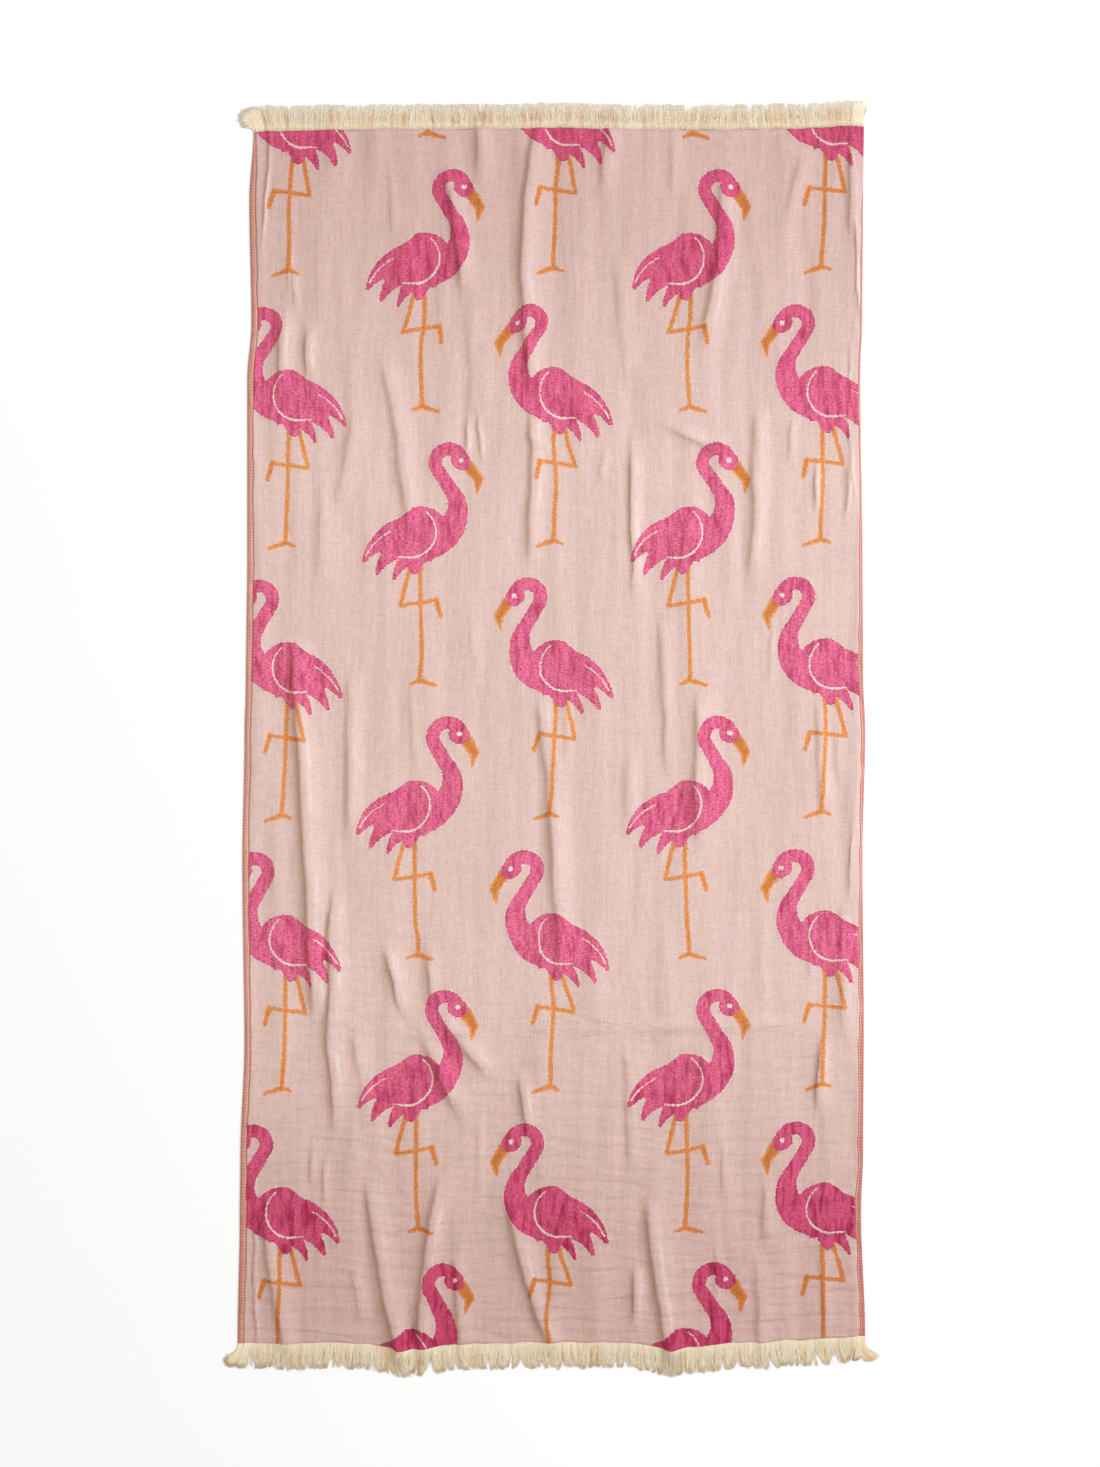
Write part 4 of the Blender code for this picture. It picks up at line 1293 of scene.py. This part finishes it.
def stroke_nodes(tree, point, stroke):
    """Distance to a tapered stroke, as stroke_gap works it out."""
    run = (stroke.x1 - stroke.x0, stroke.y1 - stroke.y0, 0)
    length2 = run[0] ** 2 + run[1] ** 2
    scaled = tuple(part / length2 for part in run)
    start = (stroke.x0 * run[0] + stroke.y0 * run[1]) / length2
    along = add_node(tree, VECTOR, {"operation": "DOT_PRODUCT"}, {0: point, 1: scaled})
    share = add_node(tree, MATH, {"operation": "SUBTRACT", "use_clamp": True}, {0: along, 1: start})
    nearest = add_node(tree, VECTOR, {"operation": "MULTIPLY_ADD"},
                       {0: share, 1: run, 2: (stroke.x0, stroke.y0, 0)})
    away = add_node(tree, VECTOR, {"operation": "DISTANCE"}, {0: point, 1: nearest})
    half = add_node(tree, MATH, {"operation": "MULTIPLY_ADD"},
                    {0: share, 1: stroke.half1 - stroke.half0, 2: stroke.half0})
    return add_node(tree, MATH, {"operation": "SUBTRACT"}, {0: away, 1: half})


def arc_nodes(tree, point, arc):
    """Distance to a tapered arc, as arc_gap works it out."""
    middle = math.radians((arc.turn0 + arc.turn1) / 2)
    half_span = math.radians(arc.turn1 - arc.turn0) / 2
    away = add_node(tree, VECTOR, {"operation": "SUBTRACT"}, {0: point, 1: (arc.x, arc.y, 0)})
    ahead = add_node(tree, VECTOR, {"operation": "DOT_PRODUCT"},
                     {0: away, 1: (math.cos(middle), math.sin(middle), 0)})
    aside = add_node(tree, VECTOR, {"operation": "DOT_PRODUCT"},
                     {0: away, 1: (-math.sin(middle), math.cos(middle), 0)})
    turn = add_node(tree, MATH, {"operation": "ARCTAN2"}, {0: aside, 1: ahead})
    share = add_node(tree, MATH, {"operation": "MULTIPLY_ADD", "use_clamp": True},
                     {0: turn, 1: 1 / (2 * half_span), 2: 0.5})
    half = add_node(tree, MATH, {"operation": "MULTIPLY_ADD"},
                    {0: share, 1: arc.half1 - arc.half0, 2: arc.half0})
    radius = add_node(tree, VECTOR, {"operation": "LENGTH"}, {0: away})
    off = add_node(tree, MATH, {"operation": "SUBTRACT"}, {0: radius, 1: arc.radius})
    off = add_node(tree, MATH, {"operation": "ABSOLUTE"}, {0: off})
    off = add_node(tree, MATH, {"operation": "SUBTRACT"}, {0: off, 1: half})
    past = add_node(tree, MATH, {"operation": "ABSOLUTE"}, {0: turn})
    past = add_node(tree, MATH, {"operation": "MULTIPLY_ADD"},
                    {0: past, 1: arc.radius, 2: -half_span * arc.radius})
    return add_node(tree, MATH, {"operation": "MAXIMUM"}, {0: off, 1: past})


def figure_nodes(tree, point, parts):
    """Distance to the nearest of several strokes and arcs."""
    nearest = None
    for part in parts:
        gap = arc_nodes(tree, point, part) if isinstance(part, Arc) else stroke_nodes(tree, point, part)
        if nearest is None:
            nearest = gap
        else:
            nearest = add_node(tree, MATH, {"operation": "MINIMUM"}, {0: nearest, 1: gap})
    return nearest


def repeat_nodes(tree, repeat, woven):
    """The place within one bird's cell of the half-drop repeat. Every other column is dropped by
    half a row and faces the other way."""
    parts = add_node(tree, "ShaderNodeSeparateXYZ", {}, {0: woven})
    x = add_node(tree, MATH, {"operation": "SUBTRACT"},
                 {0: parts.outputs["X"], 1: repeat.first_x - repeat.column_pitch / 2})
    y = add_node(tree, MATH, {"operation": "SUBTRACT"}, {0: parts.outputs["Y"], 1: repeat.first_y})
    column = add_node(tree, MATH, {"operation": "DIVIDE"}, {0: x, 1: repeat.column_pitch})
    column = add_node(tree, MATH, {"operation": "FLOOR"}, {0: column})
    odd = add_node(tree, MATH, {"operation": "FLOORED_MODULO"}, {0: column, 1: 2.0})
    local_x = add_node(tree, MATH, {"operation": "WRAP"}, {0: x, 1: repeat.column_pitch, 2: 0.0})
    local_x = add_node(tree, MATH, {"operation": "SUBTRACT"}, {0: local_x, 1: repeat.column_pitch / 2})
    facing = add_node(tree, MATH, {"operation": "MULTIPLY_ADD"}, {0: odd, 1: -2.0, 2: 1.0})
    local_x = add_node(tree, MATH, {"operation": "MULTIPLY"}, {0: local_x, 1: facing})
    dropped = add_node(tree, MATH, {"operation": "MULTIPLY_ADD"}, {0: odd, 1: repeat.row_pitch / 2, 2: y})
    local_y = add_node(tree, MATH, {"operation": "WRAP"},
                       {0: dropped, 1: repeat.row_pitch / 2, 2: -repeat.row_pitch / 2})
    return add_node(tree, "ShaderNodeCombineXYZ", {}, {0: local_x, 1: local_y})


def flat_nodes(tree, cloth):
    """The place on the flat cloth: from 0 to 1, and in millimetres."""
    flat = add_node(tree, "ShaderNodeUVMap", {"uv_map": "flat"}, {})
    place = add_node(tree, VECTOR, {"operation": "MULTIPLY"},
                     {0: flat, 1: (cloth.flat_width / MM, cloth.flat_length / MM, 0)})
    return flat, place


def thread_nodes(tree, cloth, place):
    """The middle of the thread step that a place is in."""
    step = cloth.thread
    corner = add_node(tree, VECTOR, {"operation": "SNAP"}, {0: place, 1: (step, step, 1)})
    return add_node(tree, VECTOR, {"operation": "ADD"}, {0: corner, 1: (step / 2, step / 2, 0)})


def grain_nodes(tree, table, place, thread):
    """A table's chance patterns by name, each a noise stretched to its patches' size."""
    made = {}
    for grain in table:
        scaled = add_node(tree, VECTOR, {"operation": "MULTIPLY_ADD"},
                          {0: thread if grain.by_thread else place,
                           1: (1 / grain.width, 1 / grain.height, 0), 2: (*grain.shift, 0)})
        made[grain.name] = add_node(tree, NOISE, {"noise_dimensions": "2D"},
                                    {"Vector": scaled, "Scale": 1.0, "Detail": grain.detail,
                                     "Roughness": grain.roughness, "Distortion": grain.distortion})
    return made


def tint_nodes(tree, cloth, grains, table, colour):
    """A colour with a table's tints mixed in, one after another."""
    for tint in table:
        share = add_node(tree, RANGE, {}, {"Value": grains[tint.grain], "From Min": tint.start,
                                           "From Max": tint.full, "To Max": tint.most})
        colour = add_node(tree, MIX, COLOURS, {0: share, 6: colour, 7: getattr(cloth, tint.colour)})
    return colour


def crossing_nodes(tree, cloth, place):
    """The crossed weave, from -1 to 1: a wave across times a wave along, each over two threads. A
    thread here is a thread step, coarser than the ground's real yarns, so that it shows."""
    waved = add_node(tree, VECTOR, {"operation": "SCALE"}, {0: place, "Scale": math.pi / cloth.thread})
    waved = add_node(tree, VECTOR, {"operation": "SINE"}, {0: waved})
    ways = add_node(tree, "ShaderNodeSeparateXYZ", {}, {0: waved})
    return add_node(tree, MATH, {"operation": "MULTIPLY"}, {0: ways.outputs["X"], 1: ways.outputs["Y"]})


def end_nodes(tree, flat):
    """How far along the cloth a place is, from 0 to 1, and how much painted shade darkens it there
    towards the upper end, towards the lower end, where it is darkest, and towards both together."""
    along = add_node(tree, VECTOR, {"operation": "DOT_PRODUCT"}, {0: flat, 1: (0, 1, 0)})
    upper = add_node(tree, RANGE, {"interpolation_type": "SMOOTHSTEP"},
                     {"Value": along, "From Min": 0.68, "From Max": 1.02, "To Max": 0.66})
    lower = add_node(tree, RANGE, {"interpolation_type": "SMOOTHSTEP"},
                     {"Value": along, "From Min": 0.34, "From Max": 0.00, "To Max": 0.74})
    ends = add_node(tree, MATH, {"operation": "ADD"}, {0: upper, 1: lower})
    return along, upper, lower, ends


def ground_nodes(tree, cloth, grains):
    """The ground's colour: dusty pink with streaks and mottles of lilac and of peach, and a painted
    highlight in the pale weft's colour along each fold's sunny flank, strongest where a fold is pinched."""
    ground = tint_nodes(tree, cloth, grains, GROUND_TINTS, cloth.ground)
    # Painted highlight along the folds' sunny flanks.
    crest = add_node(tree, "ShaderNodeAttribute", {"attribute_name": "crest"}, {})
    painted_highlight_share = add_node(tree, MATH, {"operation": "MULTIPLY"},
                           {0: crest.outputs["Fac"], 1: CREST_HIGHLIGHT_COLOUR})
    return add_node(tree, MIX, COLOURS, {0: painted_highlight_share, 6: ground, 7: cloth.crest})


def pink_nodes(tree, cloth, grains, upper, lower):
    """The plumage's colour: magenta pink with salmon, deep and purer threads, darker towards both ends
    with painted shade, and with painted shade in bands along its puckers, most of all at the lower end."""
    pink = tint_nodes(tree, cloth, grains, PINK_TINTS, cloth.plumage)
    # Painted shade towards both ends.
    deepen = add_node(tree, MATH, {"operation": "MULTIPLY"}, {0: lower, 1: PINK_LOWER_END_SHADE})
    deepen = add_node(tree, MATH, {"operation": "MULTIPLY_ADD"}, {0: upper, 1: PINK_UPPER_END_SHADE, 2: deepen})
    pink = add_node(tree, MIX, COLOURS, {0: deepen, 6: pink, 7: cloth.plumage_end_shade})
    # Painted shade along the puckers, stronger towards the lower end.
    bands = add_node(tree, RANGE, {}, {"Value": grains["painted_pucker_shade"], "From Min": 0.46, "From Max": 0.72,
                                       "To Max": 0.70})
    bands = add_node(tree, MATH, {"operation": "MULTIPLY_ADD", "use_clamp": True},
                     {0: bands, 1: lower, 2: bands})
    return add_node(tree, MIX, COLOURS, {0: bands, 6: pink, 7: cloth.plumage_deep_and_pucker_shade})


def orange_nodes(tree, cloth, grains, legs, ends):
    """The colour of beaks and legs: mottled orange, deeper in the wide beak than in the narrow legs,
    and darker towards both ends with painted shade."""
    wide = add_node(tree, RANGE, {}, {"Value": legs, "From Min": -1.8, "From Max": -4.5, "To Max": 0.55})
    dark = add_node(tree, RANGE, {}, {"Value": grains["mottle"], "From Min": 0.40, "From Max": 0.66,
                                      "To Max": 0.60})
    dark = add_node(tree, MATH, {"operation": "ADD", "use_clamp": True}, {0: dark, 1: wide})
    orange = add_node(tree, MIX, COLOURS, {0: dark, 6: cloth.beak, 7: cloth.beak_deep})
    # Painted shade towards both ends.
    deepen = add_node(tree, MATH, {"operation": "MULTIPLY"}, {0: ends, 1: ORANGE_END_SHADE})
    return add_node(tree, MIX, COLOURS, {0: deepen, 6: orange, 7: cloth.beak_deep})


def figured_nodes(tree, cloth, ground, pink, orange, plumage, legs, pale):
    """The ground with its figures: a faint pale line round the plumage, then legs and beaks, the
    plumage, and the pale lines within it. plumage, legs and pale are distances."""
    halo = add_node(tree, MATH, {"operation": "LESS_THAN"}, {0: plumage, 1: HALO_WIDTH})
    halo = add_node(tree, MATH, {"operation": "MULTIPLY"}, {0: halo, 1: HALO_COLOUR})
    in_legs = add_node(tree, MATH, {"operation": "LESS_THAN"}, {0: legs, 1: 0.0})
    in_plumage = add_node(tree, MATH, {"operation": "LESS_THAN"}, {0: plumage, 1: 0.0})
    in_pale = add_node(tree, MATH, {"operation": "LESS_THAN"}, {0: pale, 1: 0.0})
    in_pale = add_node(tree, MATH, {"operation": "MULTIPLY"}, {0: in_pale, 1: in_plumage})
    colour = ground
    for share, laid_over in ((halo, cloth.contour), (in_legs, orange), (in_plumage, pink),
                             (in_pale, cloth.contour)):
        colour = add_node(tree, MIX, COLOURS, {0: share, 6: colour, 7: laid_over})
    return colour


def hem_nodes(tree, cloth, flat, place):
    """Where the hem is, its colour and the wave of its ribs. It is coral, with a pale stitch line
    beside the face cloth and painted shade of deeper coral between the ribs. The right hem is the deeper
    one."""
    hem = add_node(tree, "ShaderNodeAttribute", {"attribute_name": "hem"}, {})
    in_hem = add_node(tree, MATH, {"operation": "LESS_THAN"}, {0: hem.outputs["Fac"], 1: 0.0})
    line = add_node(tree, MATH, {"operation": "ADD"}, {0: hem.outputs["Fac"], 1: STITCH_PLACE})
    line = add_node(tree, MATH, {"operation": "ABSOLUTE"}, {0: line})
    line = add_node(tree, RANGE, {}, {"Value": line, "From Min": 0.3, "From Max": 0.9,
                                      "To Min": 0.85, "To Max": 0.0})
    rib = add_node(tree, VECTOR, {"operation": "DOT_PRODUCT"},
                   {0: place, 1: (0, 2 * math.pi / RIB_PITCH, 0)})
    rib = add_node(tree, MATH, {"operation": "SINE"}, {0: rib})
    # Painted shade between the ribs, where their relief is low.
    painted_rib_shade = add_node(tree, RANGE, {}, {"Value": rib, "From Min": -1.0, "From Max": 1.0,
                                         "To Min": 0.45, "To Max": 0.0})
    across = add_node(tree, VECTOR, {"operation": "DOT_PRODUCT"}, {0: flat, 1: (1, 0, 0)})
    on_right = add_node(tree, MATH, {"operation": "GREATER_THAN"}, {0: across, 1: 0.5})
    deep = add_node(tree, MATH, {"operation": "MULTIPLY_ADD", "use_clamp": True},
                    {0: on_right, 1: RIGHT_HEM_DEEPER, 2: painted_rib_shade})
    coral = add_node(tree, MIX, COLOURS, {0: deep, 6: cloth.coral, 7: cloth.coral_deep_and_rib_shade})
    coral = add_node(tree, MIX, COLOURS, {0: line, 6: coral, 7: cloth.coral_light})
    return in_hem, coral, rib


def toned_nodes(tree, cloth, grains, ends, colour):
    """A colour made a little lighter or darker thread by thread, by warp streaks and by soft bands,
    darker towards both ends with painted shade, and darker and warm along the foot of a pressed tuck
    with painted shade."""
    tone = add_node(tree, RANGE, {}, {"Value": grains["thread"], "To Min": 0.925, "To Max": 1.075})
    warp_tone = add_node(tree, RANGE, {}, {"Value": grains["warp"], "From Min": 0.3, "From Max": 0.7,
                                           "To Min": 0.955, "To Max": 1.045})
    band_tone = add_node(tree, RANGE, {}, {"Value": grains["band"], "From Min": 0.3, "From Max": 0.7,
                                           "To Min": 1.03, "To Max": 0.97})
    tone = add_node(tree, MATH, {"operation": "MULTIPLY"}, {0: tone, 1: warp_tone})
    tone = add_node(tree, MATH, {"operation": "MULTIPLY"}, {0: tone, 1: band_tone})
    colour = add_node(tree, VECTOR, {"operation": "SCALE"}, {0: colour, "Scale": tone})
    # Painted shade along the foot of each tuck, darker and warm.
    tuck = add_node(tree, "ShaderNodeAttribute", {"attribute_name": "tuck"}, {})
    tuck_shade_share = add_node(tree, MATH, {"operation": "MULTIPLY"}, {0: tuck.outputs["Fac"], 1: TUCK_SHADE_COLOUR})
    # Painted shade towards both ends, and along each tuck's foot.
    for share, tint in ((ends, cloth.painted_end_shade), (tuck_shade_share, cloth.painted_tuck_shade)):
        factor = add_node(tree, MIX, COLOURS, {0: share, 6: (1, 1, 1, 1), 7: tint})
        colour = add_node(tree, VECTOR, {"operation": "MULTIPLY"}, {0: colour, 1: factor})
    return colour


def relief_nodes(tree, grains, crossing, along, plumage, pale, ribs):
    """Height of the weave in metres: the crossed threads, uneven weft and warp, the raised figures
    and their sunk pale lines, wrinkles across the cloth, which are strongest at the lower end,
    puckers along it, which are strongest in the figures, and the hem's ribs."""
    raised = add_node(tree, RANGE, {"interpolation_type": "SMOOTHSTEP"},
                      {"Value": plumage, "From Min": -1.6, "From Max": 0.8,
                       "To Min": FIGURE_RELIEF, "To Max": 0.0})
    sunk = add_node(tree, RANGE, {"interpolation_type": "SMOOTHSTEP"},
                    {"Value": pale, "From Min": -1.0, "From Max": 1.2,
                     "To Min": LINE_RELIEF, "To Max": 0.0})
    rippled = add_node(tree, RANGE, {"interpolation_type": "SMOOTHSTEP"},
                       {"Value": along, "From Min": 0.40, "From Max": 0.02,
                        "To Min": RIPPLE_RELIEF, "To Max": LOW_RIPPLE_RELIEF})
    puckered = add_node(tree, RANGE, {"interpolation_type": "SMOOTHSTEP"},
                        {"Value": plumage, "From Min": -3.0, "From Max": 6.0,
                         "To Min": FIGURE_PUCKER_RELIEF, "To Max": PUCKER_RELIEF})
    height = 0.0
    for pattern, rise in ((crossing, THREAD_RELIEF), (grains["lilac"], WEFT_RELIEF),
                          (grains["warp"], WARP_RELIEF), (raised, 1.0), (sunk, 1.0),
                          (grains["ripple"], rippled), (grains["pucker"], puckered), (ribs, RIB_RELIEF)):
        height = add_node(tree, MATH, {"operation": "MULTIPLY_ADD"}, {0: pattern, 1: rise, 2: height})
    return height


def join_shader(tree, shader, colour, height):
    """Gives a shader its colour, and its normal from a height in metres."""
    tree.links.new(colour, shader.inputs["Base Color"])
    bump = add_node(tree, "ShaderNodeBump", {}, {"Strength": 1.0, "Distance": 1.0, "Height": height})
    tree.links.new(bump.outputs["Normal"], shader.inputs["Normal"])


def face_material(cloth, repeat):
    """Jacquard double gauze of cotton: the eye gets a matte dusty pink ground of lilac and peach
    weft streaks, figures whose edges climb in thread steps, and a fine crossed weave."""
    material, tree, shader = new_material("jacquard_double_gauze_cotton", 0.92, 0.10)
    flat, place = flat_nodes(tree, cloth)
    thread = thread_nodes(tree, cloth, place)
    grains = grain_nodes(tree, FACE_GRAINS, place, thread)
    grains["thread"] = add_node(tree, "ShaderNodeTexWhiteNoise", {"noise_dimensions": "2D"},
                                {"Vector": thread})
    along, upper, lower, ends = end_nodes(tree, flat)

    # The figures' edges lose or gain single threads.
    ragged = add_node(tree, RANGE, {}, {"Value": grains["thread"], "To Min": -RAGGED, "To Max": RAGGED})
    point = repeat_nodes(tree, repeat, thread)
    plumage, legs, pale = (
        add_node(tree, MATH, {"operation": "ADD"}, {0: figure_nodes(tree, point, parts), 1: ragged})
        for parts in (PLUMAGE, BEAK_AND_LEGS, PALE_LINES))

    ground = ground_nodes(tree, cloth, grains)
    pink = pink_nodes(tree, cloth, grains, upper, lower)
    orange = orange_nodes(tree, cloth, grains, legs, ends)
    colour = figured_nodes(tree, cloth, ground, pink, orange, plumage, legs, pale)
    in_hem, coral, rib = hem_nodes(tree, cloth, flat, place)
    colour = add_node(tree, MIX, COLOURS, {0: in_hem, 6: colour, 7: coral})
    colour = toned_nodes(tree, cloth, grains, ends, colour)

    ribs = add_node(tree, MATH, {"operation": "MULTIPLY"}, {0: rib, 1: in_hem})
    crossing = crossing_nodes(tree, cloth, place)
    height = relief_nodes(tree, grains, crossing, along, plumage, pale, ribs)
    join_shader(tree, shader, colour.outputs[0], height)
    return material


def back_material(cloth):
    """The back layer of the double gauze: the eye gets plain matte coral cotton, a little streaked,
    with the same crossed weave."""
    material, tree, shader = new_material("double_gauze_back_cotton", 0.93, 0.10)
    _, place = flat_nodes(tree, cloth)
    grains = grain_nodes(tree, BACK_GRAINS, place, place)
    share = add_node(tree, RANGE, {}, {"Value": grains["streak"], "From Min": 0.35, "From Max": 0.7})
    colour = add_node(tree, MIX, COLOURS, {0: share, 6: cloth.coral_light, 7: cloth.coral})
    crossing = crossing_nodes(tree, cloth, place)
    height = add_node(tree, MATH, {"operation": "MULTIPLY"}, {0: crossing, 1: BACK_THREAD_RELIEF})
    join_shader(tree, shader, colour.outputs[2], height)
    return material


def yarn_material(settings):
    """Brushed cotton warp yarn: soft cream, deeper in some yarns and away from the roots, more golden
    in the lower-lying yarns as painted shade, and at the tips paler and fuzzy at one end, tan at the other."""
    material, tree, shader = new_material("brushed_cotton_yarn", 0.95, 0.15)
    shade = add_node(tree, "ShaderNodeAttribute", {"attribute_name": "shade"}, {})
    reach = add_node(tree, "ShaderNodeAttribute", {"attribute_name": "reach"}, {})
    tip = add_node(tree, "ShaderNodeAttribute", {"attribute_name": "tip"}, {})
    golden = add_node(tree, RANGE, {}, {"Value": shade.outputs["Fac"], "From Min": 0.36, "From Max": 0.86})
    past_root = add_node(tree, RANGE, {}, {"Value": reach.outputs["Fac"], "From Min": 0.10,
                                           "From Max": 0.50, "To Min": 0.35, "To Max": 1.0})
    golden = add_node(tree, MATH, {"operation": "MULTIPLY"}, {0: golden, 1: past_root})
    pale = add_node(tree, RANGE, {}, {"Value": tip.outputs["Fac"], "From Min": 0.35, "From Max": 0.80,
                                      "To Max": 0.8})
    tan = add_node(tree, RANGE, {}, {"Value": tip.outputs["Fac"], "From Min": -0.28, "From Max": -0.45,
                                     "To Max": 0.40})
    colour = settings.cream
    for share, mixed_in in ((golden, settings.golden), (pale, settings.pale), (tan, settings.tan)):
        colour = add_node(tree, MIX, COLOURS, {0: share, 6: colour, 7: mixed_in})
    # Fibres: streaks 0.7 mm wide and 6 mm long that run with the yarns. Real ones are finer, and
    # these are drawn that coarse to show.
    place = add_node(tree, "ShaderNodeTexCoord", {}, {})
    fibre = add_node(tree, VECTOR, {"operation": "MULTIPLY"},
                     {0: place.outputs["Object"], 1: FIBRES_PER_METRE})
    fibre = add_node(tree, NOISE, {}, {"Vector": fibre, "Scale": 1.0, "Detail": 2.0})
    tone = add_node(tree, RANGE, {}, {"Value": fibre, "From Min": 0.3, "From Max": 0.7,
                                      "To Min": 0.88, "To Max": 1.06})
    colour = add_node(tree, VECTOR, {"operation": "SCALE"}, {0: colour.outputs[2], "Scale": tone})
    height = add_node(tree, MATH, {"operation": "MULTIPLY"}, {0: fibre, 1: FIBRE_RELIEF})
    join_shader(tree, shader, colour.outputs[0], height)
    return material


def floor_material(stage):
    """Matte painted board: an even pale floor with the faintest mottle."""
    material, tree, shader = new_material("matte_painted_board", 0.9, 0.0)
    place = add_node(tree, "ShaderNodeTexCoord", {}, {})
    mottle = add_node(tree, NOISE, {}, {"Vector": place.outputs["Object"], "Scale": 3.0})
    tone = add_node(tree, RANGE, {}, {"Value": mottle, "To Min": 0.995, "To Max": 1.005})
    colour = add_node(tree, VECTOR, {"operation": "SCALE"}, {0: stage.floor[:3], "Scale": tone})
    tree.links.new(colour.outputs[0], shader.inputs["Base Color"])
    return material


# ======================================================================== operators


class TOWEL_OT_cloth(bpy.types.Operator):
    """Lay the woven cloth on the folds of its solid"""

    bl_idname = "towel.lay_cloth"
    bl_label = "Lay the cloth"

    def execute(self, context):
        scene = context.scene
        towel = build_cloth(scene.towel_cloth, scene.towel_repeat)
        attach(towel, "root")
        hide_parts("towel_cloth")
        return {"FINISHED"}


class TOWEL_OT_fringes(bpy.types.Operator):
    """Brush out the yarns of both fringes"""

    bl_idname = "towel.brush_fringes"
    bl_label = "Brush the fringes"

    def execute(self, context):
        scene = context.scene
        cloth = scene.towel_cloth
        for fringe in FRINGES:
            yarns = build_fringe(cloth, scene.towel_repeat, scene.towel_fringe, fringe)
            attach(yarns, "root")
            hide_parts(fringe.node)
        return {"FINISHED"}


class TOWEL_OT_stage(bpy.types.Operator):
    """Set the floor, the soft light and the camera straight above"""

    bl_idname = "towel.set_stage"
    bl_label = "Set the stage"

    def execute(self, context):
        scene = context.scene
        stage = scene.towel_stage
        half, low = stage.floor_size / 2, -stage.floor_drop
        corners = np.array([(-half, -half, low), (half, -half, low), (half, half, low), (-half, half, low)])
        floor = make_piece("floor", corners, np.arange(4), np.array([4]), [floor_material(stage)],
                           np.zeros(1))

        world = bpy.data.worlds.new("soft_room")
        scene.world = world
        world.use_nodes = True
        sky = world.node_tree.nodes["Background"]
        sky.inputs["Color"].default_value = (*stage.fill_tint, 1.0)
        sky.inputs["Strength"].default_value = stage.fill

        lamp = bpy.data.lights.new("soft_key", "AREA")
        lamp.shape = "SQUARE"
        lamp.size = stage.key_size
        lamp.energy = stage.key * math.pi * stage.key_distance ** 2
        lamp.color = stage.key_tint
        key = bpy.data.objects.new("soft_key", lamp)
        level = stage.key_distance * math.cos(stage.key_height)
        key.location = (level * math.cos(stage.key_turn), level * math.sin(stage.key_turn),
                        stage.key_distance * math.sin(stage.key_height))
        key.rotation_euler = (0, math.pi / 2 - stage.key_height, stage.key_turn)
        key.visible_camera = False
        scene.collection.objects.link(key)

        view = bpy.data.cameras.new("camera_above")
        view.sensor_width = SENSOR_WIDTH
        view.lens = SENSOR_WIDTH * stage.camera_height / stage.view_height
        camera = bpy.data.objects.new("camera_above", view)
        camera.location = (stage.camera_x, stage.camera_y, stage.camera_height)
        scene.collection.objects.link(camera)
        scene.camera = camera
        scene.view_settings.view_transform = "Standard"
        return {"FINISHED"}


class TOWEL_PT_panel(bpy.types.Panel):
    """Lists the towel's steps and settings"""

    bl_label = "Hammam towel"
    bl_idname = "TOWEL_PT_panel"
    bl_space_type = "VIEW_3D"
    bl_region_type = "UI"
    bl_category = "Towel"

    def draw(self, context):
        scene = context.scene
        for step in (TOWEL_OT_cloth, TOWEL_OT_fringes, TOWEL_OT_stage):
            self.layout.operator(step.bl_idname)
        for group in (scene.towel_cloth, scene.towel_repeat, scene.towel_fringe, scene.towel_stage):
            box = self.layout.box()
            for name in group.__annotations__:
                box.prop(group, name)


CLASSES = (
    ClothSettings, RepeatSettings, FringeSettings, StageSettings,
    TOWEL_OT_cloth, TOWEL_OT_fringes, TOWEL_OT_stage, TOWEL_PT_panel,
)


def register():
    for kind in CLASSES:
        bpy.utils.register_class(kind)
    bpy.types.Scene.towel_cloth = bpy.props.PointerProperty(type=ClothSettings)
    bpy.types.Scene.towel_repeat = bpy.props.PointerProperty(type=RepeatSettings)
    bpy.types.Scene.towel_fringe = bpy.props.PointerProperty(type=FringeSettings)
    bpy.types.Scene.towel_stage = bpy.props.PointerProperty(type=StageSettings)


def unregister():
    del bpy.types.Scene.towel_stage
    del bpy.types.Scene.towel_fringe
    del bpy.types.Scene.towel_repeat
    del bpy.types.Scene.towel_cloth
    for kind in reversed(CLASSES):
        bpy.utils.unregister_class(kind)


def main():
    register()
    bpy.ops.towel.lay_cloth()
    bpy.ops.towel.brush_fringes()
    bpy.ops.towel.set_stage()


if __name__ == "__main__":
    main()
